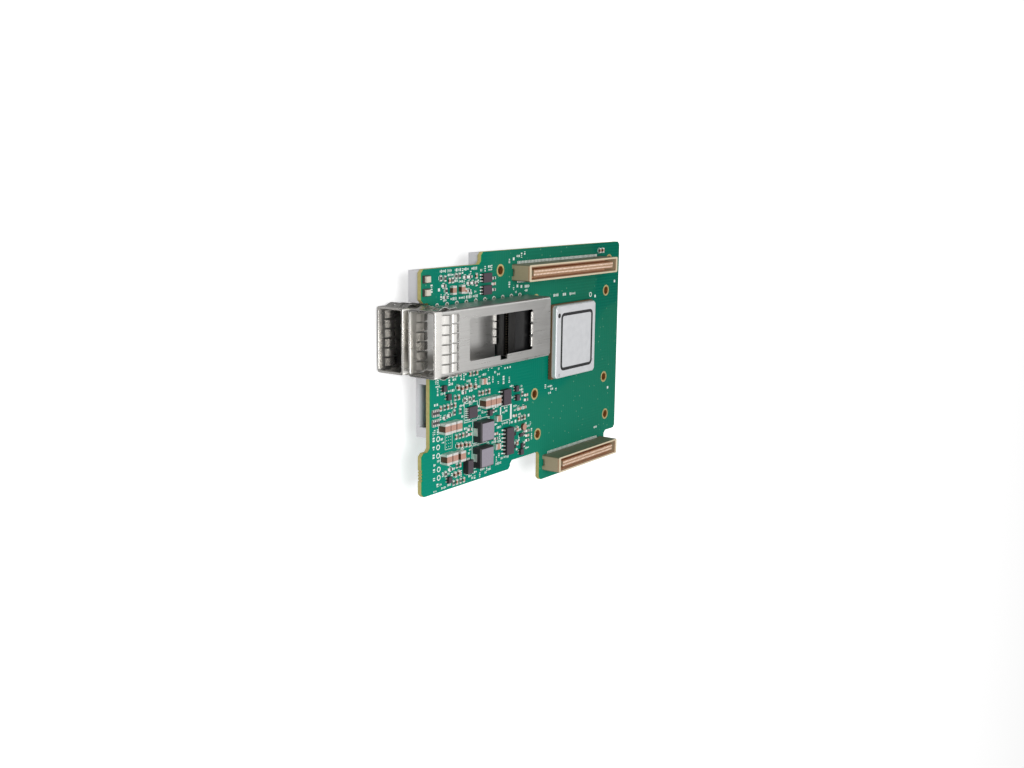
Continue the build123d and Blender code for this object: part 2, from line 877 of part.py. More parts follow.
def gull_lead(reach, height):
    """Gull wing seen from its end, from the package side out to its toe."""
    shoulder = package_standoff + (height + lead_thickness) / 2
    knee, ankle = reach / 3, reach / 2
    return [
        (0, shoulder),
        (knee, shoulder),
        (ankle, lead_thickness),
        (reach, lead_thickness),
        (reach, 0),
        (ankle - lead_thickness / 2, 0),
        (knee - lead_thickness / 2, shoulder - lead_thickness),
        (0, shoulder - lead_thickness),
    ]


def package_bodies(shares, length, width, height):
    """Moulded bodies of a group of like packages."""
    with BuildPart() as bodies:
        with BuildSketch(face.offset(package_standoff)):
            with Locations(*sites(shares)):
                Rectangle(length, width)
        extrude(amount=height)
    return bodies


def package_leads(shares, length, profile, pitch, lead_width, count):
    """Leads on both long sides of a group of like packages."""
    right = shift(profile, length / 2, 0)
    left = [(-x, y) for x, y in reversed(right)]
    row_width = (count - 1) * pitch + lead_width
    combs = [
        contact_comb(plane, (right, left), row_width, count, pitch, lead_width).part
        for plane in package_planes(shares)
    ]
    with BuildPart() as leads:
        add(combs)
    return leads


def keep_packages(name, shares, length, height, profile, pitch, lead_width, count, end):
    """Bodies and leads of one kind of package, as two nodes."""
    width = (count - 1) * pitch + 2 * end
    keep(package_bodies(shares, length, width, height), f"{name}_bodies")
    keep(package_leads(shares, length, profile, pitch, lead_width, count), f"{name}_leads")


for package_name, package_shares, lead_count in (
    ("power_transistor", transistor_shares, transistor_side_lead_count),
    ("regulator", regulator_shares, regulator_side_lead_count),
):
    keep_packages(
        package_name,
        package_shares,
        small_outline_length,
        small_outline_height,
        gull_lead(small_outline_lead_reach, small_outline_height),
        small_outline_spacing,
        small_outline_lead_width,
        lead_count,
        small_outline_end,
    )
fine_gull = gull_lead(fine_lead_reach, fine_height)
for package_name, package_shares, package_length, package_lead, package_spacing, lead_count in (
    (
        "controller",
        controller_shares,
        controller_length,
        fine_gull,
        fine_spacing,
        controller_side_lead_count,
    ),
    ("logic", logic_shares, logic_length, fine_gull, tiny_spacing, logic_side_lead_count),
    (
        "small_transistor",
        tiny_shares,
        tiny_length,
        flat_lead(tiny_lead_reach),
        tiny_spacing,
        tiny_side_lead_count,
    ),
):
    keep_packages(
        package_name,
        package_shares,
        package_length,
        fine_height,
        package_lead,
        package_spacing,
        fine_lead_width,
        lead_count,
        fine_end,
    )


# Clamp diode

with BuildPart() as clamp_diode_body:
    with BuildSketch(face.offset(package_standoff)):
        with Locations(*sites(diode_shares)):
            Rectangle(diode_length, diode_width)
    extrude(amount=diode_height)
    chamfer(clamp_diode_body.faces().sort_by(Axis.Z)[-1].edges(), diode_edge_break)
keep(clamp_diode_body, "clamp_diode_body")

tab_offset = (diode_length + diode_tab_reach) / 2
with BuildPart() as clamp_diode_tabs:
    with BuildSketch(face):
        with Locations(*sites(diode_shares)):
            with Locations((tab_offset, 0), (-tab_offset, 0)):
                Rectangle(diode_tab_reach, diode_tab_width)
    extrude(amount=diode_height / 2)
keep(clamp_diode_tabs, "clamp_diode_tabs")


# Chip capacitors, resistors, networks and status lights

def block_group(plane, places, blocks, height):
    """Like blocks at like places: each block is an offset, a length and a width."""
    with BuildPart() as group:
        with BuildSketch(plane):
            with Locations(*places):
                for offsets, length, width in blocks:
                    with Locations(*offsets):
                        Rectangle(length, width)
        extrude(amount=height)
    return group


def keep_chips(name, places, size):
    """Bodies and soldered ends of one kind of large chip part, as two nodes."""
    length, width, height = size
    end_length = length * chip_end_share
    end_offset = (length - end_length) / 2
    body = [(((0, 0),), length - 2 * end_length, width)]
    ends = [(((end_offset, 0), (-end_offset, 0)), end_length, width)]
    keep(block_group(face, places, body, height), f"{name}_bodies")
    keep(block_group(face, places, ends, height), f"{name}_ends")


for chip_name, chip_shares, chip_size in (
    ("tall_capacitor", tall_capacitor_shares, tall_capacitor),
    ("capacitor", capacitor_shares, capacitor),
):
    keep_chips(chip_name, sites(chip_shares), chip_size)

cover_room = cage_gap_low - cover_low_margin
rear_sites = [
    Location(
        (along_share * board_length, -cover_low_margin - up_share * cover_room, 0), (0, 0, 90 * turns)
    )
    for along_share, up_share, turns in rear_capacitor_shares
]
for chip_name, chip_plane, chip_places, chip_size in (
    ("small_capacitors", face, sites(small_capacitor_shares), small_capacitor),
    ("resistors", face, sites(resistor_shares), resistor),
    ("rear_capacitors", underside, rear_sites, small_capacitor),
):
    chip_length, chip_width, chip_height = chip_size
    chip_body = [(((0, 0),), chip_length, chip_width)]
    keep(block_group(chip_plane, chip_places, chip_body, chip_height), chip_name)

network_step = network_length / network_element_count
network_reach = (network_width + network_end_length) / 2
network_offsets = [
    ((step - (network_element_count - 1) / 2) * network_step, side * network_reach)
    for step in range(network_element_count)
    for side in (-1, 1)
]
network_body = [(((0, 0),), network_length, network_width)]
network_ends = [(network_offsets, network_end_width, network_end_length)]
keep(block_group(face, sites(network_shares), network_body, network_height), "network_bodies")
keep(block_group(face, sites(network_shares), network_ends, network_height), "network_ends")

base_length, base_width, base_height = led_base
lens_length, lens_width, lens_height = led_lens
led_body = [(((0, 0),), base_length, base_width)]
led_dome = [(((0, 0),), lens_length, lens_width)]
keep(block_group(face, sites(led_shares), led_body, base_height), "status_light_bases")
led_top = face.offset(base_height)
keep(block_group(led_top, sites(led_shares), led_dome, lens_height), "status_light_lenses")
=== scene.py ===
# %% [markdown]
# # A network adapter card, dressed for its photograph
#
# The card was built in a CAD program, so every piece is already there at its real size. This lesson
# adds what a camera sees: brushed metal, a lacquered board with printed marks, springs that are
# really bent, and soft light. The CAD model is loaded as a fixed frame, in which nothing is moved.

# %% Load the frame
import random
from math import pi, radians, sin

import bpy
from mathutils import Matrix, Vector


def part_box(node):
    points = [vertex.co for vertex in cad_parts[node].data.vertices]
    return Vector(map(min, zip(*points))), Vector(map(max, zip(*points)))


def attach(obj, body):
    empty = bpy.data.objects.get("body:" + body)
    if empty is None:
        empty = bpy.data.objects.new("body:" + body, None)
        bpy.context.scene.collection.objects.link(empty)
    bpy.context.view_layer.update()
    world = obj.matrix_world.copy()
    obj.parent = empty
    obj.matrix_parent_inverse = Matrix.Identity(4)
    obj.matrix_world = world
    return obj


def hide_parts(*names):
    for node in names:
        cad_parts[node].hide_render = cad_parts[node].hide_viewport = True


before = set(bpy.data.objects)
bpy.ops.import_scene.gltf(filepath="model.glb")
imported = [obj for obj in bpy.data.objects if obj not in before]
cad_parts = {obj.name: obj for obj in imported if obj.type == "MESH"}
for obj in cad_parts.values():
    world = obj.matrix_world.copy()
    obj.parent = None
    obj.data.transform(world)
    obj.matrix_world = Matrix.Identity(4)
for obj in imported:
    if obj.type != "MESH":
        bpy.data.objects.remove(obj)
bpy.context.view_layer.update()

MM = 0.001

# %% [markdown]
# ## Measures
#
# The board's box gives the height of its face and the corner from which places on it are counted.
# Forward is the distance from the port end, up is the distance from the main lower edge, both in
# millimetres.

# %% Measure the board
TAB_DROP = 10
board_low, board_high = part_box("circuit_board")
FACE = board_high.z
BACK = board_low.z


def spot(forward, up, height=0):
    """A place above the board's face, in metres."""
    return Vector((board_low.x + forward * MM, board_low.y + (TAB_DROP + up) * MM, FACE + height * MM))


print("board face at", round(FACE / MM, 2), "mm")

# %% [markdown]
# ## The camera
#
# Corners whose real places are known were matched with their places in the photograph, and that
# gave the camera's direction, distance and lens. The angles below turn the card's own axes into the
# camera's axes. The camera is rolled against the floor, on which the card lies on its back.

# %% Place the camera
TURN, TILT, ROLL = radians(54.4771), radians(10.2079), radians(-0.7238)
STANCE = Vector((-26.4497, -30.8616, -342.5814)) * MM
FOCAL_PIXELS, PICTURE_PIXELS, SENSOR = 1167.55, 1024, 36
NEAREST_SEEN = 0.01

card_to_camera = (
    Matrix.Rotation(ROLL, 3, "Z") @ Matrix.Rotation(TILT, 3, "X") @ Matrix.Rotation(TURN, 3, "Y")
)
camera_to_card = card_to_camera.transposed()
eye = spot(0, 0) - camera_to_card @ STANCE

bpy.ops.object.camera_add(location=eye)
camera = bpy.context.object
camera.rotation_euler = camera_to_card.to_euler()
camera.data.sensor_width = SENSOR
camera.data.lens = FOCAL_PIXELS * SENSOR / PICTURE_PIXELS
camera.data.clip_start = NEAREST_SEEN
bpy.context.scene.camera = camera
print("camera at", [round(value, 3) for value in eye], "lens", round(camera.data.lens, 2))

# %% [markdown]
# ## The floor
#
# The camera sees a white floor, and mirror rays see a greyer one, so that folded sheet keeps its
# contrast. A Light Path node tells which kind of ray asks, and a Map Range node answers with one
# number or another.

# %% Tell rays apart
def path_share(nodes, links, *outputs):
    """1 for the kinds of ray that are named, 0 for all others."""
    path = nodes.new("ShaderNodeLightPath")
    total = path.outputs[outputs[0]]
    for output in outputs[1:]:
        either = nodes.new("ShaderNodeMath")
        either.operation = "MAXIMUM"
        links.new(total, either.inputs[0])
        links.new(path.outputs[output], either.inputs[1])
        total = either.outputs[0]
    return total


def ranged(nodes, links, share, low, high):
    """A number that is low for share 0 and high for share 1."""
    level = nodes.new("ShaderNodeMapRange")
    level.inputs["To Min"].default_value = low
    level.inputs["To Max"].default_value = high
    links.new(share, level.inputs["Value"])
    return level.outputs["Result"]


# %% Lay the floor
FLOOR_SIZE, PAPER, MIRRORED_PAPER, FLOOR_GLOW = 6, 0.8, 0.45, 0.55
ground = bpy.data.materials.new("pale ground")
ground.use_nodes = True
nodes, links = ground.node_tree.nodes, ground.node_tree.links
nodes.clear()
paper = nodes.new("ShaderNodeBsdfDiffuse")
grey = ranged(nodes, links, path_share(nodes, links, "Is Glossy Ray"), PAPER, MIRRORED_PAPER)
links.new(grey, paper.inputs["Color"])
glow = nodes.new("ShaderNodeEmission")
seen = path_share(nodes, links, "Is Camera Ray")
links.new(ranged(nodes, links, seen, 0, FLOOR_GLOW), glow.inputs["Strength"])
both = nodes.new("ShaderNodeAddShader")
links.new(paper.outputs[0], both.inputs[0])
links.new(glow.outputs[0], both.inputs[1])
output = nodes.new("ShaderNodeOutputMaterial")
links.new(both.outputs[0], output.inputs["Surface"])
bpy.ops.mesh.primitive_plane_add(size=FLOOR_SIZE)
floor = bpy.context.object
floor.name = "floor"
floor.data.materials.append(ground)
print("floor", FLOOR_SIZE, "m wide")

# %% [markdown]
# ## Flags
#
# In a studio, polished metal mirrors the dark room beyond the softbox, and that draws its folds.
# Three black cards stand in for the dark room. They are hidden from the camera, throw no shadow and
# take no light from matt surfaces.

# %% Set up the flags
FLAGS = (
    ("rear flag", (0.42, -0.275, 0.237), (0, -0.275, 0.237), 0.65, 0.235),
    ("low flag", (-0.07, 0.015, 0.006), (0, 0.015, 0.006), 0.07, 0.0125),
    ("side flag", (0.09, 0.11, 0.04), (0, 0, 0.04), 0.3, 0.07),
)
cloth = bpy.data.materials.new("black cloth")
cloth.use_nodes = True
shader = cloth.node_tree.nodes["Principled BSDF"]
shader.inputs["Base Color"].default_value = (0, 0, 0, 1)
shader.inputs["Specular IOR Level"].default_value = 0
for name, place, aim, width, height in FLAGS:
    bpy.ops.mesh.primitive_plane_add(size=1)
    card = bpy.context.object
    card.name = name
    card.scale = (width, height, 1)
    card.location = place
    card.rotation_euler = (Vector(aim) - Vector(place)).to_track_quat("Z", "Y").to_euler()
    card.data.materials.append(cloth)
    card.visible_camera = card.visible_diffuse = False
    card.visible_shadow = card.visible_transmission = False
print(len(FLAGS), "flags set up")

# %% [markdown]
# ## Lamps and world
#
# Soft, even light comes from two square lamps and a pale world. The world is white for the camera
# and for mirrors, and weaker as a light, so that the card keeps its shadow.

# %% Light the card
CARD_MIDDLE = Vector((0, 0, 0.01))
LAMPS = (("key lamp", (-0.4, 0.1, 0.78), 0.5, 4.8), ("side lamp", (0.1, -0.8, 0.5), 0.6, 1))
WORLD_LIGHT, WORLD_SEEN = 0.42, 1.0
world = bpy.data.worlds.new("studio")
world.use_nodes = True
bpy.context.scene.world = world
nodes, links = world.node_tree.nodes, world.node_tree.links
seen = path_share(nodes, links, "Is Camera Ray", "Is Glossy Ray", "Is Transmission Ray")
background = nodes["Background"]
background.inputs["Color"].default_value = (1, 1, 1, 1)
links.new(ranged(nodes, links, seen, WORLD_LIGHT, WORLD_SEEN), background.inputs["Strength"])
for name, place, size, power in LAMPS:
    bpy.ops.object.light_add(type="AREA", location=place)
    lamp = bpy.context.object
    lamp.name = name
    lamp.data.size = size
    lamp.data.energy = power
    lamp.rotation_euler = (CARD_MIDDLE - Vector(place)).to_track_quat("-Z", "Y").to_euler()
bpy.context.scene.view_settings.view_transform = "Standard"
print(len(LAMPS), "lamps lit")

# %% [markdown]
# ## A small language for finishes
#
# A finish is a network of shader nodes. A small class wraps a socket and lets Python's own signs
# add the maths nodes: `1 - mask` becomes a subtract node. Every other node comes from one method
# that takes its type, its settings and its sockets.

# %% Define numbers that can be added and multiplied
class Amount:
    """A number socket that takes part in Python expressions."""

    def __init__(self, finish, socket):
        self.finish, self.socket = finish, socket

    def math(self, operation, first, second):
        return self.finish.add("ShaderNodeMath", {"operation": operation}, {0: first, 1: second})

    def __add__(self, other):
        return self.math("ADD", self, other)

    def __sub__(self, other):
        return self.math("SUBTRACT", self, other)

    def __mul__(self, other):
        return self.math("MULTIPLY", self, other)

    def __rsub__(self, other):
        return self.math("SUBTRACT", other, self)

    __radd__ = __add__
    __rmul__ = __mul__

    def above(self, edge, softness):
        """0 below the edge, 1 above it, with a soft step between."""
        sockets = {"Value": self, "From Min": edge - softness, "From Max": edge + softness}
        return self.finish.add("ShaderNodeMapRange", {"clamp": True}, sockets)

    def size(self):
        """The number without its sign."""
        return self.finish.add("ShaderNodeMath", {"operation": "ABSOLUTE"}, {0: self})


# %% Define a finish
def rgb(red, green, blue):
    """A colour as seen on a screen, turned into the linear values that a shader takes."""
    return tuple((value / 255) ** 2.2 for value in (red, green, blue)) + (1,)


class Finish:
    """A material built on the Principled shader."""

    def __init__(self, name, **constants):
        self.material = bpy.data.materials.new(name)
        self.material.use_nodes = True
        self.tree = self.material.node_tree
        self.shader = self.tree.nodes["Principled BSDF"]
        for socket, value in constants.items():
            self.shader.inputs[socket.replace("_", " ")].default_value = value
        self.place = self.add("ShaderNodeTexCoord", output="Object")
        self.facing = self.add("ShaderNodeTexCoord", output="Normal")

    def add(self, kind, settings=None, sockets=None, output=0):
        """Add a node: settings first, then the values or links of its sockets."""
        node = self.tree.nodes.new(kind)
        for name, value in (settings or {}).items():
            setattr(node, name, value)
        for key, value in (sockets or {}).items():
            if isinstance(value, Amount):
                self.tree.links.new(value.socket, node.inputs[key])
            else:
                node.inputs[key].default_value = value
        return Amount(self, node.outputs[output])

    def noise(self, scale, detail=2, vector=None):
        """Cloudy pattern from 0 to 1."""
        sockets = {"Vector": vector or self.place, "Scale": scale, "Detail": detail}
        return self.add("ShaderNodeTexNoise", None, sockets)

    def bands(self, direction, scale, distortion, detail_scale):
        """Wavy bands that follow each other in one direction."""
        settings = {"wave_type": "BANDS", "bands_direction": direction, "wave_profile": "SIN"}
        sockets = {"Vector": self.place, "Scale": scale, "Distortion": distortion}
        sockets.update({"Detail": 1, "Detail Scale": detail_scale})
        return self.add("ShaderNodeTexWave", settings, sockets)

    def blend(self, share, first, second):
        """Two colours mixed by a share; a colour of three numbers is one as seen on a screen."""
        first, second = (rgb(*c) if isinstance(c, tuple) else c for c in (first, second))
        settings = {"data_type": "RGBA"}
        return self.add("ShaderNodeMix", settings, {0: share, 6: first, 7: second}, output=2)

    def along(self, vector, axis):
        """One number out of a vector."""
        return self.add("ShaderNodeSeparateXYZ", None, {"Vector": vector}, output=axis)

    def feed(self, socket, value):
        """Drive one input of the shader."""
        self.tree.links.new(value.socket, self.shader.inputs[socket])

    def relief(self, height, depth, strength):
        """Turn a pattern into a slight unevenness of the surface."""
        sockets = {"Height": height, "Distance": depth, "Strength": strength}
        self.feed("Normal", self.add("ShaderNodeBump", None, sockets))


# %% Define how a CAD node is dressed
def dress(obj, finish):
    """Give a mesh one finish all over."""
    obj.data.materials.clear()
    obj.data.materials.append(finish.material)
    obj.data.polygons.foreach_set("material_index", [0] * len(obj.data.polygons))


dressed = set()


def wear(node, finish):
    """Give a CAD node its finish."""
    dress(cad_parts[node], finish)
    dressed.add(node)


# %% [markdown]
# ## The board's lacquer
#
# Under the green lacquer the copper shows as slightly lighter lines and fields, and at the sawn
# edge the bare laminate shows tan, in layers. One finish does it all: the direction that a face
# looks in tells lacquer from edge, wavy bands cut by cloudy patches make the tracks, and thin bands
# make the layers. Towards the low front corner the green is painted lighter, as painted light.

# %% Draw the patterns of the board
PAINTED_LIGHT_START, PAINTED_LIGHT_FADE = 0.005, 0.075
LACQUER_DEPTH, LACQUER_SOFT = 0.26 * MM, 0.04 * MM
mask = Finish("green lacquer", IOR=1.5, Specular_IOR_Level=0.05, Coat_Roughness=0.15)
upright = mask.along(mask.facing, "Z").size().above(0.5, 0.1)
clouds = mask.noise(38, 3)
field = mask.noise(55, 1).above(0.52, 0.03)
columns = mask.bands("X", 260, 1.4, 30).above(0.62, 0.1)
rows = mask.bands("Y", 300, 2.2, 22).above(0.66, 0.1)
tracked = columns * field + rows * (1 - field)
patches = mask.noise(30, 0).above(0.55, 0.02)
slant = mask.along(mask.place, "X") * -1 - mask.along(mask.place, "Y")
# Painted light: the green turns lighter towards the low front corner.
painted_light_low_front = slant.above(PAINTED_LIGHT_START, PAINTED_LIGHT_FADE)
scattered_points = {"Vector": mask.place, "Scale": 430}
vias = 1 - mask.add("ShaderNodeTexVoronoi", None, scattered_points).above(0.1, 0.02)
layers = mask.bands("Z", 900, 0.5, 60)
near_face = mask.along(mask.place, "Z").above(FACE - LACQUER_DEPTH, LACQUER_SOFT)

# %% Colour the board
green = mask.blend(clouds, (0, 94, 76), (0, 108, 88))
# Painted light towards the low front corner.
green = mask.blend(painted_light_low_front, green, (0, 138, 115))
green = mask.blend(patches * 0.22, green, (60, 128, 92))
green = mask.blend(tracked * 0.12, green, (40, 150, 122))
green = mask.blend(vias * patches * 0.7, green, (120, 170, 140))
sawn = mask.blend(mask.noise(900, 3), (172, 162, 104), (210, 200, 142))
sawn = mask.blend(layers * 0.4, sawn, (136, 124, 72))
sawn = mask.blend(near_face, sawn, (20, 160, 96))
mask.feed("Base Color", mask.blend(upright, sawn, green))
mask.feed("Roughness", 0.85 - upright * 0.5 + mask.noise(700, 3) * 0.08)
mask.feed("Coat Weight", upright * 0.05)
mask.relief(tracked * upright + mask.noise(1600, 2) * 0.3, 0.02 * MM, 0.3)
wear("circuit_board", mask)
print("board finished with", len(mask.tree.nodes), "nodes")

# %% [markdown]
# ## Metals
#
# The cages are folded from thin nickel-plated sheet, rolled lengthways, so their shine is drawn out
# in fine streaks. On cages and springs the wall that looks to the longer connector is painted
# darker, as painted shade for the dark room it would mirror. Springs are brighter, and tinned leads
# are soft and slightly uneven.

# %% Define the metals
def sheet_metal(name, light, dark, roughness, fineness, depth):
    """Rolled sheet: streaks along the card, faint clouds, handling marks and painted shade on the far
    wall.
    """
    metal = Finish(name, Metallic=0.92)
    rolled = {"Vector": metal.place, "Scale": (60, fineness, fineness)}
    streaks = metal.noise(1, 2, metal.add("ShaderNodeMapping", None, rolled))
    cloudy = metal.noise(60, 2)
    smudges = metal.noise(200, 3).above(0.62, 0.1)
    # Painted shade: the wall that faces +Y is blended towards dark grey.
    painted_shade_far_wall = metal.along(metal.facing, "Y").above(0.7, 0.2)
    colour = metal.blend(streaks * 0.5 + cloudy * 0.5, dark, light)
    colour = metal.blend(painted_shade_far_wall * 0.5, colour, (70, 70, 68))
    metal.feed("Base Color", metal.blend(smudges * 0.1, colour, dark))
    metal.feed("Roughness", streaks * 0.1 + smudges * 0.05 + roughness)
    metal.relief(streaks, depth, 0.3)
    return metal


def plain_metal(name, light, dark, roughness, grain):
    """Plated or tinned metal: soft clouds and fine grain."""
    metal = Finish(name, Metallic=0.9)
    cloudy = metal.noise(grain, 3)
    fine = metal.noise(grain * 9, 2)
    metal.feed("Base Color", metal.blend(cloudy, dark, light))
    metal.feed("Roughness", cloudy * 0.15 + fine * 0.1 + roughness)
    metal.relief(fine, 0.01 * MM, 0.5)
    return metal


# %% Mix the metals
cage_metal = sheet_metal("plated sheet", (236, 235, 232), (196, 194, 190), 0.24, 2600, 0.008 * MM)
spring_metal = sheet_metal("spring sheet", (240, 238, 233), (206, 203, 198), 0.22, 400, 0.0005 * MM)
tinned = plain_metal("tinned metal", (248, 248, 244), (212, 210, 206), 0.38, 900)
gilded = plain_metal("gilded metal", (232, 216, 160), (196, 176, 116), 0.34, 700)
brown_plating = plain_metal("brown plating", (190, 132, 76), (150, 98, 52), 0.5, 900)
dull_contact = plain_metal("dull contact", (120, 112, 98), (84, 78, 66), 0.42, 900)
pale_contact = plain_metal("pale contact", (255, 240, 226), (240, 214, 194), 0.4, 900)
bronze = plain_metal("contact bronze", (214, 172, 138), (182, 140, 106), 0.4, 900)
lid_metal = plain_metal("plated lid", (226, 227, 229), (208, 209, 212), 0.4, 500)
lid_metal.shader.inputs["Metallic"].default_value = 0.3
print("metals mixed")

# %% [markdown]
# ## Plastics, ceramics and inks
#
# Blocks that stand on the board are painted lighter on top and darker on their sides, as painted
# light and shade; only the resistors' black film on pale sides is their own two colours. The board
# connectors are a beige moulding with cream rims; their olive-grey outer walls are painted shade
# and a painted reflection of the green board, their ends are painted shade, and their pinkish slot
# is painted lighter, as painted light against its shade.

# %% Define mouldings and blocks
def moulding(name, light, dark, roughness, grain, depth=0.02 * MM):
    """Moulded plastic or fired ceramic: fine grain and faint clouds."""
    body = Finish(name, IOR=1.5)
    fine = body.noise(grain, 3)
    cloudy = body.noise(grain / 14, 2)
    body.feed("Base Color", body.blend(fine * 0.5 + cloudy * 0.5, dark, light))
    body.feed("Roughness", fine * 0.14 + roughness)
    body.relief(fine, depth, 0.5)
    return body


def two_tone_and_painted_shade(name, top, side, roughness, grain):
    """A block with one colour on top and another on its sides: painted light and shade, except where
    they are the part's own two colours.
    """
    body = Finish(name, IOR=1.5)
    up = body.along(body.facing, "Z").size().above(0.9, 0.05)
    fine = body.noise(grain, 3)
    shade = body.blend(up, side, top)
    body.feed("Base Color", body.blend(fine * 0.3, shade, side))
    body.feed("Roughness", fine * 0.2 + roughness)
    body.relief(fine, 0.02 * MM, 0.6)
    return body


# %% Define the board connectors' moulding
UPPER_ROW, LOWER_ROW = 60.85, -4.3
SLOT_REACH, RIM_LEVEL, TONGUE_LEVEL, SOFT_STEP = 2.1 * MM, 6.65 * MM, 6.3 * MM, 0.05 * MM


def board_socket(name):
    """Rim, slot, tongue and outer walls, told apart by place and direction, with painted shade on the
    walls and ends and painted light in the slot.
    """
    body = Finish(name, IOR=1.5, Specular_IOR_Level=0.4)
    fine = body.noise(1600, 3)
    across_card = body.along(body.place, "Y")
    inside = 0
    for middle in (UPPER_ROW, LOWER_ROW):
        inside = inside + (1 - (across_card - spot(0, middle).y).size().above(SLOT_REACH, SOFT_STEP))
    level = body.along(body.place, "Z")
    tongue = inside * level.above(FACE + TONGUE_LEVEL, SOFT_STEP)
    rim = level.above(FACE + RIM_LEVEL, SOFT_STEP) * body.along(body.facing, "Z").above(0.8, 0.1)
    ends = body.along(body.facing, "X").size().above(0.8, 0.1)
    # The walls' olive-grey is painted shade with a painted reflection of the green board; the slot's
    # light pink is painted light against its shade.
    shade = body.blend(inside, (112, 112, 90), (246, 206, 170))
    # The ends are painted darker than the rim: painted shade.
    shade = body.blend(ends, shade, (172, 158, 130))
    shade = body.blend(tongue, shade, (180, 144, 114))
    shade = body.blend(rim, shade, (222, 206, 176))
    body.feed("Base Color", body.blend(fine * 0.2, shade, (90, 84, 62)))
    body.feed("Roughness", fine * 0.14 + 0.42)
    body.relief(fine, 0.02 * MM, 0.5)
    return body


# %% Mix the plastics, ceramics and inks
socket_black = moulding("black moulding", (24, 24, 25), (8, 8, 9), 0.32, 1500)
# Light top and dark sides: painted light and painted shade on one black moulding.
package_black = two_tone_and_painted_shade("package moulding", (80, 70, 78), (28, 24, 28), 0.5, 2600)
connector_beige = board_socket("beige moulding")
substrate_brown = moulding("laminate brown", (116, 88, 60), (84, 62, 42), 0.6, 1500)
silicon = moulding("polished silicon", (70, 72, 84), (50, 52, 62), 0.12, 800, 0.004 * MM)
cover_grey = moulding("grey moulding", (222, 222, 224), (204, 204, 208), 0.5, 1800)
# Light top and dark sides: painted light and painted shade on one grey iron powder.
inductor_grey = two_tone_and_painted_shade("pressed iron powder", (160, 154, 165), (40, 37, 40), 0.42, 2400)
# Light top and dark sides: painted light and painted shade on one brown ceramic.
ceramic_brown = two_tone_and_painted_shade("brown ceramic", (200, 154, 136), (84, 58, 44), 0.36, 2200)
# Black film on top and pale ceramic sides: the resistor's own two colours.
ceramic_black = two_tone_and_painted_shade("black film", (34, 34, 38), (150, 146, 140), 0.35, 2600)
light_base = moulding("dark base", (74, 74, 66), (46, 46, 42), 0.4, 1800)
light_lens = moulding("milky resin", (232, 228, 214), (204, 192, 172), 0.16, 900)
ink_white = moulding("printing ink", (240, 244, 240), (222, 230, 224), 0.6, 1500)
ink_black = moulding("black ink", (38, 38, 40), (24, 24, 26), 0.5, 1500)
ink_grey = moulding("grey ink", (150, 150, 154), (130, 130, 134), 0.5, 1500)
print(len(bpy.data.materials), "materials so far")

# %% Dress the CAD nodes
WORN = {
    cage_metal: ("connector_side_cage", "rear_side_cage"),
    spring_metal: ("connector_side_spring_collar", "rear_side_spring_collar"),
    socket_black: ("connector_side_host_socket", "rear_side_host_socket"),
    dull_contact: ("connector_side_host_contacts", "rear_side_host_contacts"),
    connector_beige: ("upper_board_connector", "lower_board_connector"),
    bronze: ("upper_board_contacts", "lower_board_contacts"),
    substrate_brown: ("processor_substrate",),
    silicon: ("processor_die",),
    lid_metal: ("processor_lid",),
    cover_grey: ("rear_cover",),
    inductor_grey: ("power_inductor_shells",),
    tinned: (
        "power_inductor_terminals", "power_transistor_leads", "regulator_leads", "controller_leads",
        "logic_leads", "small_transistor_leads", "clamp_diode_tabs", "tall_capacitor_ends",
        "capacitor_ends", "network_ends",
    ),
    package_black: (
        "power_transistor_bodies", "regulator_bodies", "controller_bodies", "logic_bodies",
        "small_transistor_bodies", "clamp_diode_body",
    ),
    ceramic_brown: (
        "tall_capacitor_bodies", "capacitor_bodies", "small_capacitors", "rear_capacitors",
    ),
    ceramic_black: ("resistors", "network_bodies"),
    light_base: ("status_light_bases",),
    light_lens: ("status_light_lenses",),
}
for finish, nodes_worn in WORN.items():
    for node in nodes_worn:
        wear(node, finish)
print("nodes without a finish:", sorted(set(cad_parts) - dressed))

# %% [markdown]
# ## Tools for new pieces
#
# Every new piece starts as a primitive at its real size and is shaped in edit mode. Three starts
# are enough: a block with broken edges, a flat ring and a round pad. Each stands on its origin.
# What repeats is modelled once. Each copy has its own mesh, which is carried to its place, so that
# every object stays at the origin, and the copies are joined into one piece.

# %% Define selecting
def select_mesh():
    """Select the whole mesh that is being edited."""
    bpy.ops.mesh.select_all(action="SELECT")


def stop_editing():
    """Leave edit mode."""
    bpy.ops.object.mode_set(mode="OBJECT")


def let_go():
    """Leave edit mode and deselect everything."""
    if bpy.context.object and bpy.context.object.mode != "OBJECT":
        stop_editing()
    bpy.ops.object.select_all(action="DESELECT")


def edit_all():
    """Enter edit mode with the whole mesh selected."""
    bpy.ops.object.mode_set(mode="EDIT")
    select_mesh()


def edit_where(piece, wanted):
    """Enter edit mode with only those corners selected whose place passes a test."""
    edit_all()
    bpy.ops.mesh.select_all(action="DESELECT")
    stop_editing()
    for vertex in piece.data.vertices:
        vertex.select = wanted(vertex.co)
    bpy.ops.object.mode_set(mode="EDIT")


# %% Define blocks, rings and pads
def slab(length, width, height, edge=0.0, segments=1):
    """A block with its edges broken."""
    let_go()
    bpy.ops.mesh.primitive_cube_add(size=1)
    block = bpy.context.object
    edit_all()
    bpy.ops.transform.resize(value=(length, width, height))
    bpy.ops.transform.translate(value=(0, 0, height / 2))
    if edge:
        bpy.ops.mesh.bevel(offset=edge, segments=segments, affect="EDGES")
    stop_editing()
    return block


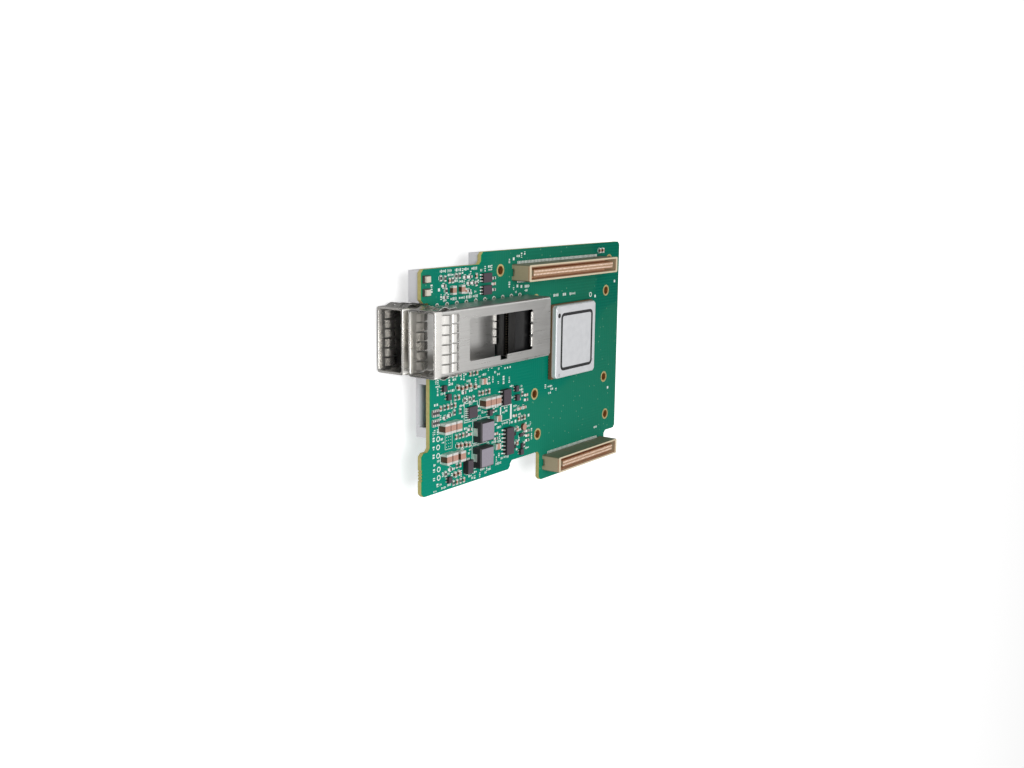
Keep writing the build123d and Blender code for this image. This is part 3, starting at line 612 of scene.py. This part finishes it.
def washer(inner, outer, height, sides):
    """A flat ring."""
    let_go()
    bpy.ops.mesh.primitive_circle_add(vertices=sides, radius=inner)
    ring = bpy.context.object
    edit_all()
    bpy.ops.mesh.extrude_edges_move()
    bpy.ops.transform.resize(value=(outer / inner, outer / inner, 1))
    raise_sheet(height)
    return ring


def raise_sheet(height):
    """Give the flat mesh that is being edited a height."""
    select_mesh()
    bpy.ops.mesh.extrude_region_move(TRANSFORM_OT_translate={"value": (0, 0, height)})
    select_mesh()
    bpy.ops.mesh.normals_make_consistent(inside=False)
    stop_editing()


def disc(radius, height, sides):
    """A round pad."""
    let_go()
    bpy.ops.mesh.primitive_cylinder_add(vertices=sides, radius=radius, depth=height)
    pad = bpy.context.object
    edit_all()
    bpy.ops.transform.translate(value=(0, 0, height / 2))
    stop_editing()
    return pad


# %% Define copying and joining
def at(place, turn=0, scale=(1, 1, 1)):
    """Matrix that carries a master to its place."""
    return Matrix.Translation(place) @ Matrix.Rotation(turn, 4, "Z") @ Matrix.Diagonal((*scale, 1))


def copied(master, matrices):
    """One copy of a master for each matrix."""
    copies = []
    for matrix in matrices:
        copy = master.copy()
        copy.data = master.data.copy()
        copy.data.transform(matrix)
        bpy.context.scene.collection.objects.link(copy)
        copies.append(copy)
    return copies


def settle(name, pieces, finish, slot):
    """Join pieces into one, name it, and give it its finish and its body. The slot is not used."""
    let_go()
    for piece in pieces:
        piece.select_set(True)
    bpy.context.view_layer.objects.active = pieces[0]
    if len(pieces) > 1:
        bpy.ops.object.join()
    piece = bpy.context.object
    piece.name = name
    piece.data.name = name
    dress(piece, finish)
    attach(piece, "root")
    print(name, len(piece.data.polygons), "faces")
    return piece


def repeat(name, master, matrices, finish, slot):
    """Copy a master to many places and settle the copies as one piece."""
    copies = copied(master, matrices)
    bpy.data.objects.remove(master)
    return settle(name, copies, finish, slot)


# %% Find the solids of a CAD node
def solids(node):
    """Boxes of the separate solids in a CAD node, found by the corners that its faces share."""
    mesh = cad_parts[node].data
    leader = {}

    def lead(key):
        while leader[key] != key:
            leader[key] = leader[leader[key]]
            key = leader[key]
        return key

    keys = [tuple(round(value / MM, 3) for value in vertex.co) for vertex in mesh.vertices]
    for key in keys:
        leader.setdefault(key, key)
    for face in mesh.polygons:
        corners = [lead(keys[index]) for index in face.vertices]
        for corner in corners[1:]:
            leader[lead(corner)] = lead(corners[0])
    groups = {}
    for key in leader:
        groups.setdefault(lead(key), []).append(key)
    boxes = []
    for group in sorted(groups.values()):
        low = Vector(min(corner[axis] for corner in group) for axis in range(3)) * MM
        high = Vector(max(corner[axis] for corner in group) for axis in range(3)) * MM
        boxes.append((low, high))
    return boxes


print(len(solids("resistors")), "resistors found")

# %% [markdown]
# ## Spring collars
#
# Round each cage's mouth sits a collar of thin spring steel, with arched fingers on every wall,
# outside and inside, that touch the module and the host's panel. The edge of a strip is extruded
# from point to point along the arch, and a Solidify modifier gives the sheet its thickness. The hem
# is the fold of the sheet over the edge of the cage, and is drawn in the same way.

# %% Define a finger
SHEET = 0.15 * MM
SMOOTH_BELOW = radians(50)


def thicken(piece):
    """Give a bent surface the thickness of the sheet and smooth its bends."""
    modifier = piece.modifiers.new("thickness", "SOLIDIFY")
    modifier.thickness, modifier.offset, modifier.use_even_offset = SHEET, 0, True
    let_go()
    piece.select_set(True)
    bpy.context.view_layer.objects.active = piece
    bpy.ops.object.modifier_apply(modifier=modifier.name)
    bpy.ops.object.shade_smooth_by_angle(angle=SMOOTH_BELOW)
    return piece


def finger(points, width):
    """A strip bent along points given as (forward, outward), with its width along X."""
    let_go()
    bpy.ops.mesh.primitive_plane_add(size=width * MM)
    piece = bpy.context.object
    edit_where(piece, lambda place: place.y > 0)
    bpy.ops.mesh.delete(type="VERT")
    select_mesh()
    forward, outward = points[0]
    bpy.ops.transform.translate(value=Vector((0, outward + width / 2, forward)) * MM)
    for (z0, y0), (z1, y1) in zip(points, points[1:]):
        step = (0, (y1 - y0) * MM, (z1 - z0) * MM)
        bpy.ops.mesh.extrude_edges_move(TRANSFORM_OT_translate={"value": step})
    stop_editing()
    return thicken(piece)


# %% Bend one finger of each kind
OUTER_LINE, INNER_LINE = 0.125, -0.425
FINGER_WIDTH, WAVE_START, WAVE_LENGTH, WAVE_RISE = 2.3, 2.6, 4.9, 0.78
WAVE_STEPS, WAVE_FULLNESS = 10, 1.3
FINGER_FOOT = ((0.3, 0.22), (1.6, 0.27), (2.9, 0.22), (3.2, 0))


def wave(line, rise):
    """Points of a finger's arch from its root to its tip."""
    for step in range(WAVE_STEPS + 1):
        share = step / WAVE_STEPS
        yield WAVE_START + WAVE_LENGTH * share, line + rise * sin(pi * share) ** WAVE_FULLNESS


outer_points = list(wave(OUTER_LINE, WAVE_RISE))
foot_points = [(WAVE_START + WAVE_LENGTH + forward, OUTER_LINE + up) for forward, up in FINGER_FOOT]
masters = {
    "outer": finger(outer_points, FINGER_WIDTH),
    "footed": finger(outer_points + foot_points, FINGER_WIDTH),
    "inner": finger(list(wave(INNER_LINE, -WAVE_RISE)), FINGER_WIDTH),
}
print("fingers bent:", ", ".join(masters))

# %% Define the hem
port_low, port_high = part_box("connector_side_cage")
rear_low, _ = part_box("rear_side_cage")
HALF_WIDTH, HALF_HEIGHT = (port_high.y - port_low.y) / 2 / MM, 4.75
MOUTH_X, MOUTH_Y = port_low.x / MM, (port_low.y + port_high.y) / 2 / MM
HEM_LENGTH, HEM_CORNER, HEM_CORNER_STEPS = 2.75, 0.75, 3
HEM_BEND = (
    (0, OUTER_LINE), (-0.085, 0.06), (-0.12, -0.05), (-0.12, -0.25), (-0.085, -0.36), (0, INNER_LINE)
)


def hem():
    """The ring over the mouth, bent round the edge of the sheet."""
    path = [(HEM_LENGTH, OUTER_LINE), *HEM_BEND, (HEM_LENGTH, INNER_LINE)]
    let_go()
    bpy.ops.mesh.primitive_plane_add(size=1)
    piece = bpy.context.object
    edit_all()
    forward, outward = path[0]
    across_now, up_now = HALF_WIDTH + outward, HALF_HEIGHT + outward
    bpy.ops.transform.resize(value=(2 * across_now * MM, 2 * up_now * MM, 1))
    bpy.ops.mesh.bevel(offset=HEM_CORNER * MM, segments=HEM_CORNER_STEPS, affect="VERTICES")
    select_mesh()
    bpy.ops.mesh.delete(type="ONLY_FACE")
    select_mesh()
    bpy.ops.transform.translate(value=(0, 0, forward * MM))
    for (z0, y0), (z1, y1) in zip(path, path[1:]):
        step = (0, 0, (z1 - z0) * MM)
        bpy.ops.mesh.extrude_edges_move(TRANSFORM_OT_translate={"value": step})
        across_next, up_next = HALF_WIDTH + y1, HALF_HEIGHT + y1
        bpy.ops.transform.resize(value=(across_next / across_now, up_next / up_now, 1))
        across_now, up_now = across_next, up_next
    stop_editing()
    return thicken(piece)


# %% Fit the collars
FINGER_STEP, BOARD_BELOW, BOARD_ABOVE = 2.8, -1, 1
UP, SIDEWAYS = Vector((0, 0, 1)), Vector((0, 1, 0))
WALLS = (
    (UP, HALF_HEIGHT, 6, 6), (-UP, HALF_HEIGHT, 6, 6),
    (SIDEWAYS, HALF_WIDTH, 3, 2), (-SIDEWAYS, HALF_WIDTH, 3, 2),
)


def turned(outward, centre, reach, offset):
    """Matrix from a finger's own axes (across, outward, forward) to a wall of the cage."""
    forward = Vector((1, 0, 0))
    across = outward.cross(forward)
    matrix = Matrix((across, outward, forward)).transposed().to_4x4()
    place = centre + outward * (reach * MM) + across * (offset * MM)
    return Matrix.Translation(place) @ matrix


for side, middle_z, board_side in (
    ("connector", port_high.z / MM - HALF_HEIGHT, BOARD_BELOW),
    ("rear", rear_low.z / MM + HALF_HEIGHT, BOARD_ABOVE),
):
    centre = Vector((MOUTH_X, MOUTH_Y, middle_z)) * MM
    places = {name: [] for name in masters}
    for outward, reach, outer_count, inner_count in WALLS:
        kind = "outer" if outward.z * board_side > 0 else "footed"
        for count, name in ((outer_count, kind), (inner_count, "inner")):
            for step in range(count):
                offset = (step - (count - 1) / 2) * FINGER_STEP
                places[name].append(turned(outward, centre, reach, offset))
    ring = hem()
    ring.data.transform(turned(UP, centre, 0, 0))
    pieces = [ring]
    for name, matrices in places.items():
        pieces += copied(masters[name], matrices)
    collar = settle(f"{side}_collar", pieces, spring_metal, "spring_steel")
    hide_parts(f"{side}_side_spring_collar")
for master in masters.values():
    bpy.data.objects.remove(master)

# %% [markdown]
# ## Beads on the window's far edge
#
# At the far end of each heat sink window the sheet is rolled over in three short beads, which are
# blocks with rounded edges.

# %% Roll the beads
WINDOW_END, BEAD_LENGTH, BEAD_STEP, BEAD_SIZE = -10.1, 3.2, 3.9, 0.55
BEAD_ROUND, BEAD_ROUND_STEPS, BEAD_INSET = 0.16, 3, 0.05
bead_levels = (port_high.z / MM - BEAD_INSET - BEAD_SIZE, rear_low.z / MM + BEAD_INSET)
bead_places = [
    at(Vector((WINDOW_END - BEAD_SIZE / 2, MOUTH_Y + step * BEAD_STEP, level)) * MM)
    for step in (-1, 0, 1)
    for level in bead_levels
]
bead_size = BEAD_SIZE * MM, BEAD_LENGTH * MM, BEAD_SIZE * MM
bead = slab(*bead_size, BEAD_ROUND * MM, BEAD_ROUND_STEPS)
repeat("window_beads", bead, bead_places, spring_metal, "spring_steel")

# %% [markdown]
# ## Rings round the holes
#
# A ring of bare metal lies round every screw hole and pin hole. The brown barrel that lines a
# screw hole is the same shape, as tall as the board is thick.

# %% Add the rings
SCREW_PLACES = [(37.9, 61.9), (103.1, 61.9), (59.8, 6.1), (103.1, 6.1)]
SINK_PLACES = [(57.7, 20), (101.5, 20), (101.5, 51.1), (57.7, 51.1)]
HOLES = SCREW_PLACES + SINK_PLACES
HOLE_RADIUS, RING_RADIUS, RING_SIDES, FOIL = 1.375 * MM, 1.95 * MM, 32, 0.035 * MM
BARREL_INNER, BARREL_OUTER = 1.28 * MM, 1.36 * MM
hole_rings = [at((*spot(*place).xy, z)) for place in HOLES for z in (FACE, BACK - FOIL)]
ring = washer(HOLE_RADIUS, RING_RADIUS, FOIL, RING_SIDES)
repeat("board_hole_rings", ring, hole_rings, gilded, "gold_contact")
hole_barrels = [at((*spot(*place).xy, BACK)) for place in HOLES]
barrel = washer(BARREL_INNER, BARREL_OUTER, FACE - BACK, RING_SIDES)
repeat("board_hole_barrels", barrel, hole_barrels, brown_plating, "gold_contact")

# %% Add the pin rings
PIN_START, PIN_STEP, PIN_COUNT, PIN_ROWS = 6.9, 4.62, 10, (34.7, 53.3)
PIN_RING_INNER, PIN_RING_OUTER, PIN_RING_SIDES = 0.56 * MM, 0.9 * MM, 16
PINS = [(PIN_START + PIN_STEP * step, row) for step in range(PIN_COUNT) for row in PIN_ROWS]
ring = washer(PIN_RING_INNER, PIN_RING_OUTER, FOIL, PIN_RING_SIDES)
repeat("board_pin_rings", ring, [at(spot(*place)) for place in PINS], tinned, "tinned")

# %% [markdown]
# ## Plated ends of the small chips
#
# A resistor or small capacitor is a ceramic block whose two ends are dipped in metal and soldered
# to pads. Each end is a cap a little larger than the block, with a low wedge of solder at its foot.

# %% Dip the chip ends
END_SHARE, SKIN = 0.24, 0.02 * MM
CAP_EDGE, WEDGE_FROM, WEDGE_HEIGHT, WEDGE_REACH = 0.06, 0.4, 0.3, 0.55


def cap_master():
    """End cap one unit long, wide and high, with its foot drawn out to a wedge of solder."""
    cap = slab(1, 1, 1, CAP_EDGE)
    edit_where(cap, lambda place: place.x > WEDGE_FROM and place.z < WEDGE_HEIGHT)
    bpy.ops.transform.translate(value=(WEDGE_REACH, 0, 0))
    stop_editing()
    return cap


def end_caps(boxes, behind=False):
    """Matrices of the two end caps of every chip, on the board or behind it."""
    for low, high in boxes:
        size, middle = high - low, (low + high) / 2
        lengthways = size.x >= size.y
        length, width = (size.x, size.y) if lengthways else (size.y, size.x)
        scale = (length * END_SHARE + SKIN, width + 2 * SKIN, size.z + SKIN)
        for side in (-1, 1):
            reach = side * (length / 2 - length * END_SHARE / 2)
            place = middle + (Vector((reach, 0, 0)) if lengthways else Vector((0, reach, 0)))
            turn = (0 if side > 0 else pi) + (0 if lengthways else pi / 2)
            if behind:
                upside_down = at((place.x, place.y, BACK)) @ Matrix.Rotation(pi, 4, "X")
                yield upside_down @ at((0, 0, 0), -turn, scale)
            else:
                yield at((place.x, place.y, FACE), turn, scale)


for name, node in (("resistor_ends", "resistors"), ("small_capacitor_ends", "small_capacitors")):
    repeat(name, cap_master(), end_caps(solids(node)), tinned, "tinned")

# %% Wrap the networks' ends and dip the hidden capacitors
NETWORK_STEP, NETWORK_SIZE, NETWORK_HEIGHT = 0.8 * MM, 0.42 * MM, 0.03 * MM
wraps = []
for low, high in solids("network_bodies"):
    for step in (-1.5, -0.5, 0.5, 1.5):
        x = (low.x + high.x) / 2 + step * NETWORK_STEP
        wraps.append(at((x, low.y + NETWORK_SIZE / 2, high.z)))
        wraps.append(at((x, high.y - NETWORK_SIZE / 2, high.z)))
wrap = slab(NETWORK_SIZE, NETWORK_SIZE, NETWORK_HEIGHT)
repeat("network_end_wraps", wrap, wraps, tinned, "tinned")
rear_caps = end_caps(solids("rear_capacitors"), behind=True)
repeat("rear_capacitor_ends", cap_master(), rear_caps, tinned, "tinned")

# %% [markdown]
# ## More tiny chips
#
# More tiny chips and printed marks follow. So that none of them runs under a part or over a hole,
# every taken place is noted as a box in board measures, and a new place is used only if it is clear.
# A row of chips is given by its first place (forward, up), its number of chips, the step from one
# to the next (forward, up) and whether they lie along the card.

# %% Note what is taken
LOW_PART, HOLE_ROOM, PIN_ROOM = 2 * MM, 4.2, 2


def ruler(point):
    """A place in the frame as distances on the board, in millimetres."""
    return (point.x - board_low.x) / MM, (point.y - board_low.y) / MM - TAB_DROP


def around(mark, gap):
    """The box (low forward, low up, high forward, high up) of a mark with a gap round it."""
    forward, up, length, width = mark
    reach, rise = length / 2 + gap, width / 2 + gap
    return forward - reach, up - rise, forward + reach, up + rise


def clear(mark, gap):
    """Whether a mark (forward, up, length, width) meets nothing that is already there."""
    low_t, low_u, high_t, high_u = around(mark, gap)
    return not any(
        low_t < box[2] and box[0] < high_t and low_u < box[3] and box[1] < high_u for box in taken
    )


taken = [around((*place, HOLE_ROOM, HOLE_ROOM), 0) for place in HOLES]
taken += [around((*place, PIN_ROOM, PIN_ROOM), 0) for place in PINS]
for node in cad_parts:
    if node != "circuit_board":
        for low, high in solids(node):
            if low.z < FACE + LOW_PART and high.z > FACE:
                taken.append((*ruler(low), *ruler(high)))
print(len(taken), "places taken")

# %% Set the tiny chips
CHIP_LONG, CHIP_SHORT, CHIP_HEIGHT, CHIP_EDGE = 1.5, 0.8, 0.45, 0.04
CHIP_GAP, CHIP_MARGIN = 0.2, 0.15
CHIP_ROWS = (
    (16.2, 3.9, 2, 1.6, 0, False), (14.6, -1.2, 4, 1.7, 0, False), (17.7, 20.6, 1, 0, 0, False),
    (8.4, 22.8, 5, 1.7, 0, False), (15.2, 25, 2, 1.8, 0, False), (19.6, 26.0, 1, 0, 0, True),
    (15.8, 12.9, 4, 1.7, 0, False), (22.6, 12.6, 2, 0, 1.5, True), (22.4, 9.4, 1, 0, 0, False),
    (27.2, 24.6, 4, 1.7, 0, False), (34.6, 18.2, 1, 0, 0, False), (36.2, 10.4, 2, 0, -1.6, True),
    (48.6, 13.2, 3, 1.6, 0, False), (53.6, 8.4, 3, 0, -1.6, True), (46.4, 14.6, 1, 0, 0, True),
    (52.6, 18.9, 2, 0, 1.6, True), (50.2, 21.2, 1, 0, 0, False), (12.4, 60.4, 2, 1.5, 0, False),
    (25.4, 61, 2, 0, -2.3, False), (20.3, 56.8, 1, 0, 0, False), (34.2, 56.2, 3, 0, 1.8, True),
    (12.2, 32.2, 4, 1.8, 0, False), (22.6, 31.4, 3, 1.7, 0, False),
)
chips = []
for forward, up, count, step_t, step_u, lengthways in CHIP_ROWS:
    size = (CHIP_LONG, CHIP_SHORT) if lengthways else (CHIP_SHORT, CHIP_LONG)
    for step in range(count):
        chip = (forward + step * step_t, up + step * step_u, *size)
        if clear(chip, CHIP_GAP):
            chips.append(chip)
            taken.append(around(chip, CHIP_MARGIN))
print(len(chips), "tiny chips set")


def marked(forward, up, length, width):
    """Matrix from a master one millimetre square to a mark on the face."""
    return at(spot(forward, up), 0, (length, width, 1))


for name, chosen, finish, slot in (
    ("tiny_resistor_bodies", chips[::2], ceramic_black, "ceramic_black"),
    ("tiny_capacitor_bodies", chips[1::2], ceramic_brown, "ceramic_tan"),
):
    body = slab(MM, MM, CHIP_HEIGHT * MM, CHIP_EDGE * MM)
    repeat(name, body, [marked(*chip) for chip in chosen], finish, slot)
chip_boxes = []
for chip in chips:
    low_t, low_u, high_t, high_u = around(chip, 0)
    chip_boxes.append((spot(low_t, low_u), spot(high_t, high_u, CHIP_HEIGHT)))
repeat("tiny_chip_ends", cap_master(), end_caps(chip_boxes), tinned, "tinned")

# %% [markdown]
# ## Printed marks
#
# The face is printed in white. First come the lines that follow the parts, then a bracket, squares,
# rings, dots and rows of bars at the size of lettering. Some rows have a fixed place, and the rest
# are scattered in fields, by a seeded draw, where the board is bare.

# %% Draw the outlines
INK, LINE = 0.02 * MM, 0.18
CHIP_LINE_LENGTH, CHIP_LINE_GAP = 1, 0.3
OUTLINED = (
    ("power_inductor_shells", 0.5), ("tall_capacitor_bodies", 0.3), ("controller_bodies", 1.2),
)


def outline(low_t, low_u, high_t, high_u, line):
    """Four printed lines round a part."""
    middle_t, middle_u = (low_t + high_t) / 2, (low_u + high_u) / 2
    return [
        (middle_t, low_u, high_t - low_t + line, line),
        (middle_t, high_u, high_t - low_t + line, line),
        (low_t, middle_u, line, high_u - low_u),
        (high_t, middle_u, line, high_u - low_u),
    ]


def outline_round(low, high, gap):
    """Four printed lines round a solid."""
    (low_t, low_u), (high_t, high_u) = ruler(low), ruler(high)
    return outline(low_t - gap, low_u - gap, high_t + gap, high_u + gap, LINE)


lines = []
for node, gap in OUTLINED:
    for low, high in solids(node):
        lines += outline_round(low, high, gap)
for low, high in solids("resistors") + solids("small_capacitors"):
    below, above, before, behind = outline_round(low, high, CHIP_LINE_GAP)
    if high.x - low.x > high.y - low.y:
        lines += [(*line[:2], CHIP_LINE_LENGTH, LINE) for line in (below, above)]
    else:
        lines += [(*line[:2], LINE, CHIP_LINE_LENGTH) for line in (before, behind)]
print(len(lines), "lines drawn")

# %% Define rows of marks
random.seed(7)
MARK_WIDTHS, MARK_HEIGHTS, MARK_GAP = (0.22, 0.3, 0.5), (0.6, 1, 1), 0.28
ROW_LENGTHS, ROW_HEIGHT, UPRIGHT_SHARE, TRIES, PRINT_GAP = (2, 3, 3, 4), 0.7, 0.6, 12, 0.1


def word(forward, up, count, height, upright):
    """Marks of uneven width that start at a place, in a row or one above the other."""
    marks, reach = [], 0
    for _ in range(count):
        width = random.choice(MARK_WIDTHS)
        tall = height * random.choice(MARK_HEIGHTS)
        centre = reach + width / 2
        if upright:
            marks.append((forward + centre, up, width, tall))
        else:
            marks.append((forward, up + centre, tall, width))
        reach += width + MARK_GAP
    return marks


def scattered(low_t, low_u, high_t, high_u, count):
    """Rows at random places in a field, wherever nothing else is."""
    for _ in range(count):
        for _ in range(TRIES):
            start = random.uniform(low_t, high_t), random.uniform(low_u, high_u)
            length = random.choice(ROW_LENGTHS)
            marks = word(*start, length, ROW_HEIGHT, random.random() < UPRIGHT_SHARE)
            ends = around(marks[0], 0), around(marks[-1], 0)
            inside = all(box[2] < high_t and box[3] < high_u for box in ends)
            if inside and all(clear(mark, PRINT_GAP) for mark in marks):
                taken.extend(around(mark, PRINT_GAP) for mark in marks)
                yield from marks
                break


# %% Give the marks their places
BRACKET = ((38.8, 16.2, 0.6, 4.6), (44.4, 16.2, 0.9, 5), (41.6, 18.65, 5, 0.25), (41.6, 13.8, 5, 0.18))
RINGS = ((7.5, 13.7), (7.5, 11.2), (7.5, 8.6), (7.8, 4.4), (7.8, 1.8), (91.2, 50.4))
SQUARES = (
    (107.3, 54), (104.5, 15.6), (94.3, 49.6), (44.9, 65.1), (7.6, 61.1), (7.8, 58),
    (47.1, 56.4), (49.3, 56.1), (47, 12.6), (54.4, 13.4),
)
SMALL_SQUARES = ((40.9, 30.8), (42.3, 30.8), (43.7, 30.8))
RING_ROOM, RING_GAP, SQUARE_SIZE, SMALL_SQUARE_SIZE, WORD_HEIGHT = 1.8, 0.15, 0.9, 0.55, 0.9
WORDS = (
    (8.2, 63.3, 5, True), (11.8, 63.3, 4, True), (15.2, 63.3, 5, True), (19.4, 63.3, 4, True),
    (23.2, 63.3, 5, True), (13.2, 54.9, 5, True), (17.2, 54.9, 4, True), (20.6, 54.9, 5, True),
    (24.2, 54.9, 4, True), (4.4, 57.4, 4, False), (42.6, 63.9, 3, False), (42.7, 56.2, 3, False),
    (51.2, 56, 4, True), (67.9, 51.8, 5, True), (73.6, 51.7, 3, True), (77.8, 51.6, 6, True),
    (64, 21, 3, False), (70.5, 19.4, 2, False), (40.2, 25.8, 4, False), (43.3, 25.8, 4, False),
    (36.4, 0.4, 6, True), (5.4, 13.2, 2, False), (5.4, 10.7, 2, False), (5.4, 8.1, 2, False),
    (5.6, 3.9, 2, False), (5.6, 1.3, 2, False), (7.2, -0.9, 2, False),
)
taken += [around((*place, RING_ROOM, RING_ROOM), RING_GAP) for place in RINGS]
marks = list(BRACKET)
marks += [(*place, SQUARE_SIZE, SQUARE_SIZE) for place in SQUARES]
marks += [(*place, SMALL_SQUARE_SIZE, SMALL_SQUARE_SIZE) for place in SMALL_SQUARES]
for forward, up, count, upright in WORDS:
    marks += word(forward, up, count, WORD_HEIGHT, upright)
marks = [mark for mark in marks if clear(mark, 0)]
taken += [around(mark, PRINT_GAP) for mark in marks]

# %% Print the board
DOT_BOX, DOT_BOX_LINE = (10.8, 9.8, 14.2, 14.2), 0.12
DOT_COLUMNS, DOT_ROWS, DOT_SIZE = (11.5, 12.5, 13.5), (10.5, 11.5, 12.5, 13.5), 0.22
FIELDS = (
    (8, 54.5, 36, 57, 14), (8, 58, 34, 64, 20), (44, 64.8, 52, 67.2, 3), (45, 54.5, 53, 57.5, 5),
    (5, 26, 40, 33, 34), (5, 12, 52, 25, 60), (5, -2.2, 34, 11, 46), (34, 0.6, 44, 11, 16),
    (45, 2, 57, 12, 12), (62, 18, 72, 23, 4), (92, 1, 98, 4, 1),
)
marks += [(forward, up, DOT_SIZE, DOT_SIZE) for up in DOT_ROWS for forward in DOT_COLUMNS]
taken.append(DOT_BOX)
for field in FIELDS:
    marks += scattered(*field)
print_places = [marked(*mark) for mark in lines + outline(*DOT_BOX, DOT_BOX_LINE) + marks]
repeat("board_legend", slab(MM, MM, INK), print_places, ink_white, "light_base")
RING_INNER, RING_OUTER, PRINT_SIDES = 0.55 * MM, 0.85 * MM, 16
ring = washer(RING_INNER, RING_OUTER, INK, PRINT_SIDES)
repeat("board_legend_rings", ring, [at(spot(*place)) for place in RINGS], ink_white, "light_base")

# %% [markdown]
# ## Feet, tips and solder balls
#
# The board connectors stand on rows of feet that show as a bright line along both long sides. In
# the slot, two rows of contact tips stand half a step apart. The processor stands on solder balls,
# of which only the outermost row can be seen, under the edge of its substrate.

# %% Add feet and tips
CONNECTORS = ((70.8, UPPER_ROW, 60), (81.7, LOWER_ROW, 40))
CONTACT_STEP, STAGGER = 0.8, 0.25
FOOT_SIZE, FOOT_EDGE, FOOT_PLACE = (0.42 * MM, 1.9 * MM, 0.15 * MM), 0.04 * MM, 2.5
TIP_SIZE, TIP_EDGE, TIP_PLACE, TIP_LEVEL = (0.4 * MM, 0.5 * MM, 0.12 * MM), 0.03 * MM, 0.5, 6.5
feet, tips = [], []
for middle_t, middle_u, count in CONNECTORS:
    for step in range(count):
        place = step - (count - 1) / 2
        for side in (-1, 1):
            forward = middle_t + place * CONTACT_STEP
            feet.append(at(spot(forward, middle_u + side * FOOT_PLACE)))
            forward = middle_t + (place + side * STAGGER) * CONTACT_STEP
            tips.append(at(spot(forward, middle_u + side * TIP_PLACE, TIP_LEVEL)))
repeat("board_connector_feet", slab(*FOOT_SIZE, FOOT_EDGE), feet, tinned, "tinned")
repeat("board_connector_tips", slab(*TIP_SIZE, TIP_EDGE), tips, pale_contact, "connector_contact")

# %% Add the solder balls
substrate_low, substrate_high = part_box("processor_substrate")
BALL_RADIUS, BALL_STEP, BALL_MARGIN = 0.26 * MM, 1.0 * MM, 0.6 * MM
BALL_COUNT, BALL_SIDES = 24, 10
middle = (substrate_low + substrate_high) / 2
reach = substrate_high.x - middle.x - BALL_MARGIN
balls = []
for step in range(BALL_COUNT):
    offset = (step - (BALL_COUNT - 1) / 2) * BALL_STEP
    for x, y in ((offset, reach), (offset, -reach), (reach, offset), (-reach, offset)):
        balls.append(at((middle.x + x, middle.y + y, FACE)))
ball = disc(BALL_RADIUS, substrate_low.z - FACE, BALL_SIDES)
repeat("processor_solder_balls", ball, balls, tinned, "tinned")

# %% [markdown]
# ## The frame on the lid
#
# The lid carries a printed frame with rounded corners, a black dot that shows pin one, and two
# small grey rings. The frame is a bevelled plane, inset by the line's width, without its middle.

# %% Print the lid
FRAME_SIZE, FRAME_LINE = (19.8 * MM, 19.4 * MM, 1), 1.0 * MM
FRAME_CORNER, CORNER_STEPS, ROUND_SIDES = 1.8 * MM, 6, 20
DOT_RADIUS, SMALL_INNER, SMALL_OUTER = 0.8 * MM, 0.3 * MM, 0.5 * MM
FRAME_SHIFT, DOT_SHIFT, NEAR_SHIFT, FAR_SHIFT = (0.4, -0.1), (1.6, -3.3), (2, 1.1), (-2, 4)
lid_low, lid_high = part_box("processor_lid")


def on_lid(x, y, shift_x, shift_y):
    """Matrix to a point on the lid, shifted by millimetres."""
    return at((x + shift_x * MM, y + shift_y * MM, lid_high.z))


let_go()
bpy.ops.mesh.primitive_plane_add(size=1)
printed_frame = bpy.context.object
edit_all()
bpy.ops.transform.resize(value=FRAME_SIZE)
bpy.ops.mesh.bevel(offset=FRAME_CORNER, segments=CORNER_STEPS, affect="VERTICES")
select_mesh()
bpy.ops.mesh.inset(thickness=FRAME_LINE)
bpy.ops.mesh.delete(type="FACE")
raise_sheet(INK)
middle = (lid_low + lid_high) / 2
frame_place = on_lid(middle.x, middle.y, *FRAME_SHIFT)
repeat("lid_frame", printed_frame, [frame_place], ink_black, "ceramic_black")
dot_place = on_lid(lid_low.x, lid_high.y, *DOT_SHIFT)
repeat("lid_dot", disc(DOT_RADIUS, INK, ROUND_SIDES), [dot_place], ink_black, "ceramic_black")
near_ring = on_lid(lid_low.x, lid_low.y, *NEAR_SHIFT)
far_ring = on_lid(lid_high.x, lid_low.y, *FAR_SHIFT)
ring = washer(SMALL_INNER, SMALL_OUTER, INK, ROUND_SIDES)
repeat("lid_rings", ring, [near_ring, far_ring], ink_grey, "light_base")

# %% [markdown]
# ## Small parts
#
# A few parts are too small to be worth a CAD node: a round brown coil and some small blocks.

# %% Add the small parts
COIL_RADIUS, COIL_HEIGHT, COIL_SIDES, COIL_PLACE = 1.1 * MM, 0.9 * MM, 24, (51.1, 10.1)
GREY_PLACES = ((49.9, 7.6, 0), (50.5, 3.9, pi / 2))
DARK_PLACES = ((46.3, 8.6, 0), (46.3, 4.3, 0))
PALE_PLACES = ((47.5, 10.1, 0), (47.5, 5.5, 0), (48.5, 16.7, 0), (51.3, 16.6, 0))
coil = disc(COIL_RADIUS, COIL_HEIGHT, COIL_SIDES)
repeat("round_coil", coil, [at(spot(*COIL_PLACE))], ceramic_brown, "ceramic_tan")
for name, (length, width, height, edge), places, finish, slot in (
    ("grey_blocks", (1.7, 1.1, 0.6, 0.08), GREY_PLACES, package_black, "package_plastic"),
    ("dark_dots", (1.2, 1.2, 0.5, 0.1), DARK_PLACES, ink_black, "ceramic_black"),
    ("pale_blocks", (1.2, 0.6, 0.4, 0.06), PALE_PLACES, tinned, "tinned"),
):
    block = slab(length * MM, width * MM, height * MM, edge * MM)
    repeat(name, block, [at(spot(t, u), turn) for t, u, turn in places], finish, slot)
